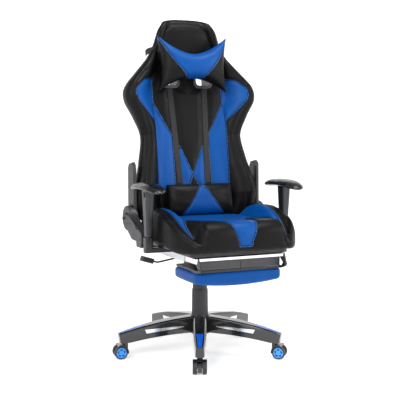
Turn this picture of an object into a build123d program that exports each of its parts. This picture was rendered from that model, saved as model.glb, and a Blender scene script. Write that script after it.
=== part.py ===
"""Gaming chair: five-star base on twin-wheel casters, gas lift, tilt mechanism, bucket seat,
reclining winged back, height-adjustable arms and a pull-out footrest.

Row frame: +Z up, the sitter faces -Y and the sitter's left hand is +X. The origin is on the floor,
on the axis of the gas lift. Millimetres throughout. Angles are in degrees.
"""
from build123d import *
import math
import os

os.makedirs("parts", exist_ok=True)


def save(piece, name):
    """Names a finished piece and writes it as its own STEP file."""
    piece.label = name
    export_step(piece, f"parts/{name}.step")


# ---------------------------------------------------------------- shared clearances
running_gap = 0.05      # radial, a shaft that turns or slides in its bore
hinge_gap = 0.5         # side by side plates that turn past each other
slide_gap = 1.0         # loose sliding fit of pressed parts
seam_gap = 1.0          # between neighbouring upholstered pieces that move apart

# ---------------------------------------------------------------- casters
wheel_r = 25.0
wheel_w = 16.0
wheel_round = 3.0
web_w = 17.0            # the housing's web between the two wheels
axle_r = 4.0
caster_trail = 18.0     # from the stem's axis back to the axle
hood_gap = 1.3
hood_wall = 2.7
stem_r = 5.5
stem_grip = 32.0        # length of stem inside the leg
stem_in_housing = 22.0
cap_r = 19.0
cap_thickness = 2.6

# ---------------------------------------------------------------- five-star base
leg_count = 5
first_leg_angle = -114.7
stem_circle_r = 300.0
leg_tip_r = 325.0
leg_root_top, leg_mid_top, leg_tip_top = 148.0, 130.0, 96.0
leg_root_low, leg_mid_low, leg_tip_low = 82.0, 78.0, 60.0
leg_root_half, leg_mid_half, leg_tip_half = 22.0, 25.0, 15.0
leg_top_round = 7.0
leg_wall = 5.0
leg_rib = 3.0
hub_r = 37.0
hub_top = 150.0
hub_low = 76.0
inlay_start_r = 222.0
inlay_depth = 1.5
inlay_proud = 0.6
inlay_half_wide, inlay_half_narrow = 13.0, 7.0
trim_start_r, trim_end_r = 72.0, 226.0
trim_thin, trim_thick = 5.0, 15.0
trim_sink, trim_proud = 0.8, 0.7

# ---------------------------------------------------------------- gas lift
stand_r, stand_wall = 25.0, 1.5
stand_low, stand_top = 62.0, 242.0
pressure_r, pressure_wall = 14.0, 1.6
pressure_low = 176.0
rod_r = 5.0
rod_top = 262.0
cover_wall = 1.2
cover_gap = 0.4
lift_travel = 80.0
cover_lower_top = 250.0
cover_middle_low, cover_middle_top = 215.0, 312.0
cover_upper_low = 296.0

# ---------------------------------------------------------------- tilt mechanism
housing_low, housing_top = 345.0, 392.0
housing_front, housing_rear = -108.0, 55.0
housing_half = 48.0
housing_wall = 3.0
lift_seat_top = 375.0       # where the pressure tube ends inside the housing
lift_boss_r = 20.0
button_r = 3.5
button_top = 381.0
button_length = 17.0
lever_pivot_x = -36.0
lever_pin_r = 2.5
lug_thick = 4.0
lever_rod_r = 3.5
tongue_gap = 0.25
lever_bend_x, lever_bend_z = -177.0, 363.0
paddle_tip_x, paddle_tip_z = -245.0, 384.0
paddle_wide, paddle_thick = 28.0, 19.0
knob_y, knob_r, knob_height = -82.0, 26.0, 24.0
knob_screw_r = 6.0
tilt_y, tilt_z = -66.0, 380.0
tilt_pin_r = 5.0
flange_thick = 4.0
flange_reach = 16.0

# ---------------------------------------------------------------- seat frame and cushion
frame_low, frame_high = 427.0, 442.0
frame_front, frame_rear = -352.0, 48.0
frame_half = 192.0
frame_tube = 24.0
carrier_x = 66.0            # centre line of the two bars that carry the mechanism
carrier_wide = 26.0
top_plate_thick = 5.0
plate_front, plate_rear = -112.0, 96.0
bolt_y_front, bolt_y_rear = -98.0, 80.0
bolt_r, bolt_head_r, bolt_head = 4.0, 7.0, 5.0

seat_low = frame_high
seat_front = -390.0
seat_front_top, seat_rear_top = 545.0, 536.0
seat_rear = 62.0
seat_center_half = 158.0
seat_front_round = 46.0
bolster_top = 578.0
bolster_half_rear, bolster_half_front = 250.0, 182.0

# ---------------------------------------------------------------- back and recliner
pivot_y, pivot_z = 42.0, 532.0
back_lean = 10.5
back_thick = 72.0
back_front_offset = -10.0   # front face of the back, measured from the pivot, square to the back
head_forward = 10.0         # the head part stands this much more upright
pivot_clear_r = 66.0        # the seat is cut back this far around the recline axis
back_clear_r = 56.0         # the back's lower end is rounded to this radius
hole_inner, hole_outer = 35.0, 105.0
hole_low, hole_high = 506.0, 572.0      # along the back, from the pivot
bezel_wide, bezel_proud = 12.0, 3.0
wing_inner = 146.0
wing_forward = 76.0

recliner_x = 250.6          # inner face of the back's hinge plates
plate_thick = 4.0
recliner_disc_r = 34.0
recliner_pin_r = 7.0
cover_outer_x = 285.0
cover_disc_r = 47.0
back_cover_outer_x = 266.0
back_cover_shift = -30.0     # the cover's top stands forward of the back's centre line
back_cover_wide = 62.0
back_cover_top = 205.0      # along the back, from the pivot

# ---------------------------------------------------------------- arms
arm_x, arm_y = 277.0, -162.0
socket_x, socket_y = 29.0, 31.0
socket_low, socket_top = 427.0, 481.0
arm_bar_x, arm_bar_y = 8.0, 18.0
arm_bar_top = 600.0
sleeve_gap = 0.6
sleeve_low_x, sleeve_low_y = 22.0, 28.0
sleeve_top_x, sleeve_top_y = 32.0, 50.0
sleeve_top = 650.0
arm_travel = 60.0
pad_length, pad_wide = 246.0, 82.0
pad_middle_top, pad_end_top = 676.0, 660.0
pad_thick = 24.0
pad_y = -156.0
button_z = 634.0
arm_button_travel = 3.0

# ---------------------------------------------------------------- footrest
guide_x = 175.0
guide_wide, guide_low, guide_high, guide_wall = 16.0, 402.0, 426.5, 2.0
guide_front, guide_rear = -265.0, 40.0
rail_wide, rail_high = 9.0, 17.0
front_bar_high = 9.0
rail_front, rail_rear = -356.0, 8.0
bar_deep = 8.0
apron_y, apron_thick = -341.0, 3.0
apron_low = 380.0
footrest_axis_y, footrest_axis_z = -366.0, 386.0
board_half, board_front, board_rear = 160.0, -339.0, -142.0
board_low, board_high = 369.0, 377.0
cushion_half = 167.0
cushion_front, cushion_rear = -339.0, -138.0
cushion_low = 319.0
footrest_pin_r = 4.0
ear_thick = 4.0

# ================================================================ casters and base
leg_angles = [first_leg_angle + 360.0 / leg_count * k for k in range(leg_count)]
axle_x = stem_circle_r + caster_trail
wheel_inner_y = web_w / 2 + slide_gap
wheel_outer_y = wheel_inner_y + wheel_w
hood_outer_r = wheel_r + hood_gap + hood_wall
housing_top_z = leg_tip_low - 0.4
cap_base_y = wheel_outer_y - cap_thickness

with BuildPart() as caster_housing:
    # web between the wheels, joined to the hood through the stem's block
    with BuildSketch(Plane.XZ) as web_profile:
        with Locations((axle_x, wheel_r)):
            Circle(wheel_r - 4)
        with Locations((stem_circle_r, (wheel_r + hood_outer_r * 1.8) / 2)):
            Rectangle(4 * stem_r, hood_outer_r * 1.8 - wheel_r + 10)
    extrude(amount=web_w / 2, both=True)
    # hood over the tops of both wheels, on the side that faces the hub
    with BuildSketch(Plane.XZ) as hood_profile:
        with Locations((axle_x, wheel_r)):
            Circle(hood_outer_r)
            Circle(wheel_r + hood_gap, mode=Mode.SUBTRACT)
        with BuildLine():
            Polyline(
                (axle_x, wheel_r),
                (axle_x + wheel_r, wheel_r + 2 * wheel_r),
                (axle_x - 3 * wheel_r, wheel_r + 2 * wheel_r),
                (axle_x - 3 * wheel_r, wheel_r - wheel_r / 2),
                close=True,
            )
        make_face(mode=Mode.INTERSECT)
    extrude(amount=wheel_outer_y, both=True)
    with Locations((stem_circle_r, 0, housing_top_z)):
        Cylinder(2 * stem_r, 12, align=(Align.CENTER, Align.CENTER, Align.MAX))
    with Locations((stem_circle_r, 0, housing_top_z)):
        Hole(stem_r + running_gap, stem_in_housing)
    with Locations(Location((axle_x, 0, wheel_r), (90, 0, 0))):
        Cylinder(axle_r + running_gap, 2 * web_w, mode=Mode.SUBTRACT)

with BuildPart() as wheel:
    with BuildSketch(Plane.XZ.offset(-wheel_inner_y)):
        with Locations((axle_x, wheel_r)):
            Circle(wheel_r)
    extrude(amount=-wheel_w)
    fillet(wheel.edges().filter_by(GeomType.CIRCLE), wheel_round)
    with Locations(Location((axle_x, cap_base_y, wheel_r), (90, 0, 0))):
        Cylinder(cap_r + 0.2, 2 * wheel_w, align=(Align.CENTER, Align.CENTER, Align.MAX), mode=Mode.SUBTRACT)
    with Locations(Location((axle_x, 0, wheel_r), (90, 0, 0))):
        Cylinder(axle_r, 4 * wheel_w, mode=Mode.SUBTRACT)

with BuildPart() as axle:
    with Locations(Location((axle_x, 0, wheel_r), (90, 0, 0))):
        Cylinder(axle_r, 2 * cap_base_y)

with BuildPart() as hub_cap:
    # five windows leave a star of spokes around the middle
    with BuildSketch(Plane.XZ.offset(-cap_base_y)):
        with Locations((axle_x, wheel_r)):
            Circle(cap_r)
    extrude(amount=-cap_thickness)
    with BuildSketch(Plane.XZ.offset(-(cap_base_y + cap_thickness))):
        with Locations((axle_x, wheel_r)):
            with PolarLocations(cap_r * 0.66, 5, start_angle=90):
                Trapezoid(cap_r * 0.62, cap_r * 0.34, 62, rotation=-90)
    extrude(amount=2 * cap_thickness, both=True, mode=Mode.SUBTRACT)

for number, angle in enumerate(leg_angles, 1):
    turn = Rot(0, 0, angle)
    save(turn * caster_housing.part, f"caster_{number}_housing")
    other_wheel = mirror(wheel.part, about=Plane.XZ)
    save(Compound([turn * wheel.part, turn * other_wheel, turn * axle.part]), f"caster_{number}_wheels")
    other_cap = mirror(hub_cap.part, about=Plane.XZ)
    save(Compound([turn * hub_cap.part, turn * other_cap]), f"caster_{number}_hub_caps")

with BuildPart() as caster_stems:
    with BuildSketch(Plane.XY.offset(housing_top_z - stem_in_housing + 1)):
        with PolarLocations(stem_circle_r, leg_count, start_angle=first_leg_angle):
            Circle(stem_r)
    extrude(amount=stem_in_housing - 1 + stem_grip)
save(caster_stems.part, "caster_stems")


def leg_side(top_drop=0.0, low_rise=0.0, start=0.0):
    """Side outline of one leg in Plane.XZ: arched above and below, with a blunt tip."""
    with BuildLine() as outline:
        top = ThreePointArc(
            (start, leg_root_top - top_drop),
            (leg_tip_r * 0.55, leg_mid_top - top_drop),
            (leg_tip_r, leg_tip_top - top_drop),
        )
        low = ThreePointArc(
            (start, leg_root_low + low_rise),
            (leg_tip_r * 0.5, leg_mid_low + low_rise),
            (stem_circle_r - 3 * stem_r, leg_tip_low + low_rise),
        )
        Polyline(top @ 1, (leg_tip_r - 6, leg_tip_low + low_rise), low @ 1)
        Line(top @ 0, low @ 0)
    return outline


def leg_plan(inset=0.0, start=0.0, end=leg_tip_r):
    """Plan outline of one leg in Plane.XY: widest in the middle, narrow at the tip."""
    with BuildLine() as outline:
        side = ThreePointArc(
            (start, leg_root_half - inset),
            (leg_tip_r * 0.5, leg_mid_half - inset),
            (end, leg_tip_half - inset),
        )
        other = mirror(side, about=Plane.XZ)
        Line(side @ 0, other @ 0)
        Line(side @ 1, other @ 1)
    return outline


with BuildPart() as leg:
    with BuildSketch(Plane.XZ):
        add(leg_side())
        make_face()
    extrude(amount=2 * leg_mid_half, both=True)
    with BuildSketch(Plane.XY):
        add(leg_plan())
        make_face()
    extrude(amount=2 * leg_root_top, mode=Mode.INTERSECT)
    crown = leg.faces().filter_by(GeomType.CYLINDER).sort_by(Axis.Z)[-1]
    fillet(crown.edges().filter_by(lambda e: e.length > leg_tip_r / 2), leg_top_round)

with BuildPart() as leg_pocket:
    # the leg is open below, with cross ribs
    with BuildSketch(Plane.XZ):
        with BuildLine():
            pocket_top = ThreePointArc(
                (hub_r + leg_wall, leg_root_top - 2 * leg_wall),
                (leg_tip_r * 0.55, leg_mid_top - 2 * leg_wall),
                (stem_circle_r - 4 * stem_r, leg_tip_top),
            )
            Polyline(pocket_top @ 1, (stem_circle_r - 4 * stem_r, 0), (hub_r + leg_wall, 0), pocket_top @ 0)
        make_face()
    extrude(amount=2 * leg_mid_half, both=True)
    with BuildSketch(Plane.XY):
        add(leg_plan(inset=leg_wall))
        make_face()
    extrude(amount=2 * leg_root_top, mode=Mode.INTERSECT)
    with Locations((0, 0, 0)):
        with GridLocations(leg_tip_r / 6, 1, 11, 1):
            Box(leg_rib, 4 * leg_mid_half, 4 * leg_root_top, mode=Mode.SUBTRACT)

with BuildPart() as inlay:
    with BuildSketch(Plane.XZ):
        with BuildLine():
            crest = ThreePointArc(
                (0, leg_root_top + inlay_proud),
                (leg_tip_r * 0.55, leg_mid_top + inlay_proud),
                (leg_tip_r, leg_tip_top + inlay_proud),
            )
            bed = ThreePointArc(
                (0, leg_root_top - inlay_depth),
                (leg_tip_r * 0.55, leg_mid_top - inlay_depth),
                (leg_tip_r, leg_tip_top - inlay_depth),
            )
            Line(crest @ 0, bed @ 0)
            Line(crest @ 1, bed @ 1)
        make_face()
    extrude(amount=leg_mid_half, both=True)
    with BuildSketch(Plane.XY):
        with BuildLine():
            Polyline(
                (inlay_start_r, inlay_half_wide),
                (leg_tip_r - 4, inlay_half_narrow),
                (leg_tip_r - 4, -inlay_half_narrow),
                (inlay_start_r, -inlay_half_wide),
                close=True,
            )
        make_face()
    extrude(amount=2 * leg_root_top, mode=Mode.INTERSECT)

with BuildPart() as trim:
    # a tapered strip let into each side of the leg
    with BuildSketch(Plane.XY):
        add(leg_plan(inset=-trim_proud))
        make_face()
        with BuildSketch(mode=Mode.PRIVATE) as core:
            add(leg_plan(inset=trim_sink))
            make_face()
        add(core.sketch, mode=Mode.SUBTRACT)
    extrude(amount=2 * leg_root_top)
    with BuildSketch(Plane.XZ):
        with BuildLine():
            trim_mid_z = (leg_mid_top + leg_mid_low) / 2
            Polyline(
                (trim_start_r, trim_mid_z + 6 + trim_thin / 2),
                (trim_end_r, trim_mid_z - 4 + trim_thick / 2),
                (trim_end_r - 6, trim_mid_z - 4 - trim_thick / 2),
                (trim_start_r, trim_mid_z + 6 - trim_thin / 2),
                close=True,
            )
        make_face()
    extrude(amount=2 * leg_mid_half, both=True, mode=Mode.INTERSECT)

with BuildPart() as base_star:
    with Locations((0, 0, hub_low)):
        Cylinder(hub_r, hub_top - hub_low, align=(Align.CENTER, Align.CENTER, Align.MIN))
    for angle in leg_angles:
        add(Rot(0, 0, angle) * leg.part)
    for angle in leg_angles:
        add(Rot(0, 0, angle) * leg_pocket.part, mode=Mode.SUBTRACT)
        add(Rot(0, 0, angle) * inlay.part, mode=Mode.SUBTRACT)
        add(Rot(0, 0, angle) * trim.part, mode=Mode.SUBTRACT)
    with PolarLocations(stem_circle_r, leg_count, start_angle=first_leg_angle):
        with Locations((0, 0, leg_tip_low)):
            Cylinder(stem_r, stem_grip, align=(Align.CENTER, Align.CENTER, Align.MIN), mode=Mode.SUBTRACT)
    Cylinder(stand_r, 4 * hub_top, mode=Mode.SUBTRACT)
save(base_star.part, "base_star")

save(Compound([Rot(0, 0, angle) * inlay.part for angle in leg_angles]), "leg_inlays")
save(Compound([Rot(0, 0, angle) * solid for angle in leg_angles for solid in trim.part.solids()]), "leg_trim_strips")

# ================================================================ gas lift
cover_lower_in = stand_r + 3 * cover_gap + 2 * cover_wall
cover_middle_in = stand_r + 2 * cover_gap + cover_wall
cover_upper_in = stand_r + cover_gap


def tube(inner_r, outer_r, low, high):
    """A plain round tube on the lift's axis."""
    with BuildPart() as made:
        with BuildSketch(Plane.XY.offset(low)):
            Circle(outer_r)
            Circle(inner_r, mode=Mode.SUBTRACT)
        extrude(amount=high - low)
    return made.part


with BuildPart() as lift_stand_tube:
    # steel tube with a floor that carries the piston rod and a plastic guide at its mouth
    with BuildSketch(Plane.XY.offset(stand_low)):
        Circle(stand_r)
    extrude(amount=stand_top - stand_low)
    with Locations((0, 0, stand_low + 2 * stand_wall)):
        Cylinder(
            stand_r - stand_wall,
            stand_top - stand_low,
            align=(Align.CENTER, Align.CENTER, Align.MIN),
            mode=Mode.SUBTRACT,
        )
    with BuildSketch(Plane.XY.offset(stand_top - lift_travel / 2)):
        Circle(stand_r - stand_wall)
        Circle(pressure_r + running_gap, mode=Mode.SUBTRACT)
    extrude(amount=lift_travel / 2)
    Cylinder(rod_r + running_gap, 4 * stand_low, mode=Mode.SUBTRACT)
save(lift_stand_tube.part, "lift_stand_tube")

with BuildPart() as lift_piston_rod:
    # the collar stands on the thrust washer at the foot of the stand tube
    with BuildSketch(Plane.XY.offset(stand_low)):
        Circle(rod_r)
    extrude(amount=rod_top - stand_low)
    with BuildSketch(Plane.XY.offset(stand_low + 2 * stand_wall + running_gap)):
        Circle(2.4 * rod_r)
    extrude(amount=rod_r)
    with BuildSketch(Plane.XY.offset(rod_top)):
        Circle(pressure_r - pressure_wall - running_gap)
    extrude(amount=rod_r)
save(lift_piston_rod.part, "lift_piston_rod")

with BuildPart() as lift_pressure_tube:
    with BuildSketch(Plane.XY.offset(pressure_low)):
        Circle(pressure_r)
    extrude(amount=lift_seat_top - pressure_low)
    gland = 2 * rod_r
    with Locations((0, 0, pressure_low + gland)):
        Cylinder(
            pressure_r - pressure_wall,
            lift_seat_top - button_length - gland - pressure_low - 6,
            align=(Align.CENTER, Align.CENTER, Align.MIN),
            mode=Mode.SUBTRACT,
        )
    with Locations((0, 0, pressure_low)):
        Cylinder(
            rod_r + running_gap,
            3 * gland,
            mode=Mode.SUBTRACT,
        )
    with Locations((0, 0, lift_seat_top)):
        Hole(button_r + running_gap, button_length)
save(lift_pressure_tube.part, "lift_pressure_tube")

with BuildPart() as lift_release_button:
    with Locations((0, 0, button_top)):
        Cylinder(button_r, button_length, align=(Align.CENTER, Align.CENTER, Align.MAX))
save(lift_release_button.part, "lift_release_button")

with BuildPart() as lift_cover_lower:
    # flares out to a foot on the hub
    with BuildSketch(Plane.XZ):
        with BuildLine():
            Polyline(
                (cover_lower_in, hub_top),
                (cover_lower_in + 3 * cover_wall, hub_top),
                (cover_lower_in + 2 * cover_wall, cover_lower_top - 3),
                (cover_lower_in + cover_wall, cover_lower_top),
                (cover_lower_in, cover_lower_top),
                close=True,
            )
        make_face()
    revolve(axis=Axis.Z)
save(lift_cover_lower.part, "lift_cover_lower")

cover_middle = tube(cover_middle_in, cover_middle_in + cover_wall, cover_middle_low, cover_middle_top)
save(cover_middle, "lift_cover_middle")
cover_upper = tube(cover_upper_in, cover_upper_in + cover_wall, cover_upper_low, housing_low)
save(cover_upper, "lift_cover_upper")

# ================================================================ tilt mechanism
with BuildPart() as tilt_housing:
    # pressed steel box, open below, with a taper boss for the lift and a boss for the knob's screw
    housing_length = housing_rear - housing_front
    housing_mid = (housing_rear + housing_front) / 2
    with BuildSketch(Plane.XY.offset(housing_low)):
        with Locations((0, housing_mid)):
            RectangleRounded(2 * housing_half, housing_length, 10)
    extrude(amount=housing_top - housing_low)
    with BuildSketch(Plane.XY.offset(housing_low)):
        with Locations((0, housing_mid)):
            RectangleRounded(2 * (housing_half - housing_wall), housing_length - 2 * housing_wall, 8)
    extrude(amount=housing_top - housing_low - housing_wall, mode=Mode.SUBTRACT)
    with BuildSketch(Plane.XY.offset(housing_low)):
        Circle(lift_boss_r)
        with Locations((0, knob_y)):
            Circle(2 * knob_screw_r)
    extrude(amount=housing_top - housing_low)
    with BuildSketch(Plane.XY.offset(housing_low)):
        Circle(pressure_r)
    extrude(amount=lift_seat_top - housing_low, mode=Mode.SUBTRACT)
    with Locations((0, 0, housing_low)):
        with Locations((0, knob_y, 0)):
            Cylinder(knob_screw_r + running_gap, 2 * knob_height, mode=Mode.SUBTRACT)
    # slot for the height lever, from over the button out through the right side wall
    lever_slot = 4 * lever_rod_r
    with Locations((0, 0, lift_seat_top)):
        Box(
            2 * housing_half + 10,
            lever_slot,
            housing_top - housing_wall - lift_seat_top,
            align=(Align.MAX, Align.CENTER, Align.MIN),
            mode=Mode.SUBTRACT,
        )
        Cylinder(
            lever_slot / 2,
            housing_top - housing_wall - lift_seat_top,
            align=(Align.CENTER, Align.CENTER, Align.MIN),
            mode=Mode.SUBTRACT,
        )
    with Locations((-housing_half, 0, lift_seat_top)):
        Box(3 * housing_wall, lever_slot, lever_slot, mode=Mode.SUBTRACT)
    with Locations(Location((0, tilt_y, tilt_z), (0, 90, 0))):
        Cylinder(tilt_pin_r + running_gap, 4 * housing_half, mode=Mode.SUBTRACT)
    # two lugs hang from the roof and carry the lever's cross pin
    lever_z = button_top + tongue_gap + lever_rod_r
    for side in (1, -1):
        with Locations((lever_pivot_x, side * (lever_slot / 2 + lug_thick / 2), lever_z - 7)):
            Box(10, lug_thick, housing_top - lever_z + 6, align=(Align.CENTER, Align.CENTER, Align.MIN))
    with Locations(Location((lever_pivot_x, 0, lever_z), (90, 0, 0))):
        Cylinder(lever_pin_r + running_gap, 4 * lever_slot, mode=Mode.SUBTRACT)
save(tilt_housing.part, "tilt_housing")

flange_x = housing_half + hinge_gap
with BuildPart() as tilt_top_plate:
    with BuildSketch(Plane.XY.offset(frame_low - top_plate_thick)):
        with Locations((0, (plate_front + plate_rear) / 2)):
            RectangleRounded(2 * (carrier_x + carrier_wide / 2), plate_rear - plate_front, 12)
    extrude(amount=top_plate_thick)
    for side in (1, -1):
        with BuildSketch(Plane.YZ.offset(side * (flange_x + flange_thick / 2))):
            with BuildLine():
                Polyline(
                    (tilt_y - 2 * flange_reach, frame_low - top_plate_thick),
                    (tilt_y + 2 * flange_reach, frame_low - top_plate_thick),
                    (tilt_y + flange_reach * 0.7, tilt_z - flange_reach * 0.7),
                    (tilt_y - flange_reach * 0.7, tilt_z - flange_reach * 0.7),
                    close=True,
                )
            make_face()
        extrude(amount=flange_thick / 2, both=True)
    with Locations(Location((0, tilt_y, tilt_z), (0, 90, 0))):
        Cylinder(tilt_pin_r, 4 * housing_half, mode=Mode.SUBTRACT)
    with Locations((0, 0, frame_low)):
        with Locations([(sx * carrier_x, y, 0) for sx in (1, -1) for y in (bolt_y_front, bolt_y_rear)]):
            Cylinder(bolt_r, 4 * top_plate_thick, mode=Mode.SUBTRACT)
save(tilt_top_plate.part, "tilt_top_plate")

with BuildPart() as tilt_pivot_pin:
    with Locations(Location((0, tilt_y, tilt_z), (0, 90, 0))):
        Cylinder(tilt_pin_r, 2 * (flange_x + flange_thick) + 4)
save(tilt_pivot_pin.part, "tilt_pivot_pin")

with BuildPart() as height_lever:
    # tongue over the lift's button, rod out to the side, flat paddle at the end
    tongue_low = button_top + tongue_gap
    with BuildLine() as lever_route:
        FilletPolyline(
            (lever_pivot_x, 0, tongue_low + lever_rod_r),
            (lever_bend_x, 0, lever_bend_z),
            (paddle_tip_x + 20, 0, lever_bend_z + (paddle_tip_z - lever_bend_z) * 0.7),
            radius=24,
        )
    with BuildSketch(Plane(origin=lever_route.line @ 0, z_dir=lever_route.line % 0)):
        Circle(lever_rod_r)
    sweep()
    with Locations((button_r + 2, 0, tongue_low)):
        Box(
            button_r + 2 - lever_pivot_x,
            2 * lever_rod_r,
            lever_rod_r,
            align=(Align.MAX, Align.CENTER, Align.MIN),
        )
    with Locations(Location((lever_pivot_x, 0, tongue_low + lever_rod_r), (90, 0, 0))):
        Cylinder(lever_rod_r, 2 * lever_rod_r)
        Cylinder(lever_pin_r, lever_slot + 2 * lug_thick)
    rise = math.degrees(math.atan2(paddle_tip_z - lever_bend_z, lever_bend_x - paddle_tip_x))
    paddle_plane = Plane(
        origin=((lever_bend_x + paddle_tip_x) / 2 - 8, 0, (lever_bend_z + paddle_tip_z) / 2 + 2),
        x_dir=(-math.cos(math.radians(rise)), 0, math.sin(math.radians(rise))),
        z_dir=(math.sin(math.radians(rise)), 0, math.cos(math.radians(rise))),
    )
    with BuildSketch(paddle_plane.offset(-paddle_thick / 2)) as paddle_outline:
        RectangleRounded(lever_bend_x - paddle_tip_x - 16, paddle_wide, 9)
    extrude(amount=paddle_thick)
save(height_lever.part, "height_lever")

with BuildPart() as tension_knob:
    with BuildSketch(Plane.XY.offset(housing_low - slide_gap - knob_height)):
        with Locations((0, knob_y)):
            Circle(knob_r)
            with PolarLocations(knob_r + 3, 9):
                Circle(6, mode=Mode.SUBTRACT)
    extrude(amount=knob_height)
    with BuildSketch(Plane.XY.offset(housing_low - 2 * slide_gap)):
        with Locations((0, knob_y)):
            Circle(knob_screw_r)
    extrude(amount=knob_height * 0.9)
save(tension_knob.part, "tension_knob")

# ================================================================ seat frame
frame_mid_y = (frame_front + frame_rear) / 2
frame_deep = frame_rear - frame_front
with BuildPart() as seat_frame:
    with BuildSketch(Plane.XY.offset(frame_low)):
        with Locations((0, frame_mid_y)):
            RectangleRounded(2 * frame_half, frame_deep, frame_tube)
            Rectangle(2 * (frame_half - frame_tube), frame_deep - 2 * frame_tube, mode=Mode.SUBTRACT)
            with Locations((carrier_x, 0), (-carrier_x, 0)):
                Rectangle(carrier_wide, frame_deep - frame_tube)
        with Locations((0, plate_front), (0, plate_rear - 2 * frame_tube)):
            Rectangle(2 * frame_half - frame_tube, frame_tube)
    extrude(amount=frame_high - frame_low)
    with Locations((0, 0, frame_low)):
        with Locations([(sx * carrier_x, y, 0) for sx in (1, -1) for y in (bolt_y_front, bolt_y_rear)]):
            Cylinder(bolt_r, 4 * frame_tube, mode=Mode.SUBTRACT)
    # outriggers carry the recliner plates and the arm brackets
    with Locations((0, 0, (frame_low + frame_high) / 2)):
        with Locations((0, -6, 0), (0, arm_y, 0)):
            Box(2 * (frame_half - frame_tube / 2), frame_tube, frame_high - frame_low)
        with Locations((0, 0, 0)):
            Box(2 * (frame_half - frame_tube), 2 * frame_tube, 4 * frame_tube, mode=Mode.SUBTRACT)
save(seat_frame.part, "seat_frame")

with BuildPart() as seat_bolts:
    with Locations((0, 0, frame_low - top_plate_thick)):
        with Locations([(sx * carrier_x, y, 0) for sx in (1, -1) for y in (bolt_y_front, bolt_y_rear)]):
            Cylinder(bolt_r, frame_high - frame_low + top_plate_thick, align=(Align.CENTER, Align.CENTER, Align.MIN))
            Cylinder(bolt_head_r, bolt_head, align=(Align.CENTER, Align.CENTER, Align.MAX))
save(seat_bolts.part, "seat_bolts")

# ================================================================ seat upholstery
with BuildPart() as seat_cushion:
    with BuildSketch(Plane.YZ):
        with BuildLine():
            Polyline(
                (seat_front, seat_low + seat_front_round),
                (seat_front, seat_low + 10),
                (seat_front + 10, seat_low),
                (seat_rear, seat_low),
                (seat_rear, seat_rear_top),
            )
            crest = Polyline(
                (seat_rear, seat_rear_top),
                ((seat_rear + seat_front) / 2, seat_rear_top - 6),
                (seat_front + seat_front_round, seat_front_top),
            )
            ThreePointArc(
                crest @ 1,
                (seat_front + 0.22 * seat_front_round, seat_front_top - 0.4 * seat_front_round),
                (seat_front, seat_low + seat_front_round),
            )
        make_face()
    extrude(amount=seat_center_half, both=True)
    with Locations(Location((0, pivot_y, pivot_z), (0, 90, 0))):
        Cylinder(pivot_clear_r, 4 * seat_center_half, mode=Mode.SUBTRACT)
save(seat_cushion.part, "seat_cushion")

with BuildPart() as seat_bolster:
    with BuildSketch(Plane.YZ):
        with BuildLine():
            Polyline(
                (seat_rear, seat_rear_top),
                (seat_rear - 110, bolster_top - 8),
                (seat_rear - 210, bolster_top),
                (seat_front + 120, bolster_top - 22),
                (seat_front + 40, seat_front_top - 10),
                (seat_front + 6, seat_low + seat_front_round),
            )
            Polyline(
                (seat_front + 6, seat_low + seat_front_round),
                (seat_front + 14, seat_low),
                (seat_rear, seat_low),
                (seat_rear, seat_rear_top),
            )
        make_face()
    extrude(amount=bolster_half_rear)
    with BuildSketch(Plane.XY.offset(seat_low)):
        with BuildLine():
            Polyline(
                (bolster_half_rear, seat_rear),
                (seat_center_half, seat_rear),
                (seat_center_half, seat_front),
                (bolster_half_front, seat_front),
            )
            Polyline(
                (bolster_half_front, seat_front),
                (bolster_half_front + 34, seat_front + 60),
                (bolster_half_rear - 6, seat_front + 150),
                (bolster_half_rear, seat_rear - 110),
                (bolster_half_rear, seat_rear),
            )
        make_face()
    extrude(amount=2 * seat_low, mode=Mode.INTERSECT)
    # sloping inner face towards the centre cushion
    with BuildSketch(Plane.XZ.offset(-seat_rear)):
        with BuildLine():
            Polyline(
                (seat_center_half, seat_rear_top),
                (seat_center_half + 38, bolster_top + 40),
                (seat_center_half - 10, bolster_top + 40),
                (seat_center_half - 10, seat_rear_top),
                close=True,
            )
        make_face()
    extrude(amount=seat_rear - seat_front + 20, mode=Mode.SUBTRACT)
    with Locations(Location((0, pivot_y, pivot_z), (0, 90, 0))):
        Cylinder(pivot_clear_r, 4 * seat_center_half, mode=Mode.SUBTRACT)
seat_bolster_other = mirror(seat_bolster.part, about=Plane.YZ)
save(Compound([seat_bolster.part, seat_bolster_other]), "seat_bolsters")

# ================================================================ back upholstery
# The back is drawn upright from the recline axis and then leaned back.
lean = Pos(0, pivot_y, pivot_z) * Rot(-back_lean, 0, 0)
back_rear = back_front_offset + back_thick
shell_half = [
    (205, -46),
    (242, 20),
    (247, 105),
    (226, 215),
    (214, 310),
    (236, 384),
    (268, 446),
    (264, 496),
    (214, 556),
    (168, 606),
    (138, 660),
    (120, 712),
    (94, 752),
]
shell_top = 768.0
neck_z = 575.0

with BuildPart() as back_shell:
    with BuildSketch(Plane.XZ.offset(-back_rear)):
        with BuildLine():
            right_side = Polyline(*shell_half)
            left_side = Polyline(*[(-x, z) for x, z in shell_half])
            ThreePointArc(right_side @ 1, (0, shell_top), left_side @ 1)
            Line(right_side @ 0, left_side @ 0)
        make_face()
        with Locations((0, (hole_low + hole_high) / 2)):
            with Locations(
                ((hole_inner + hole_outer) / 2, 0),
                (-(hole_inner + hole_outer) / 2, 0),
            ):
                RectangleRounded(hole_outer - hole_inner, hole_high - hole_low, 18, mode=Mode.SUBTRACT)
    extrude(amount=back_thick + 2 * wing_forward)

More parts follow.
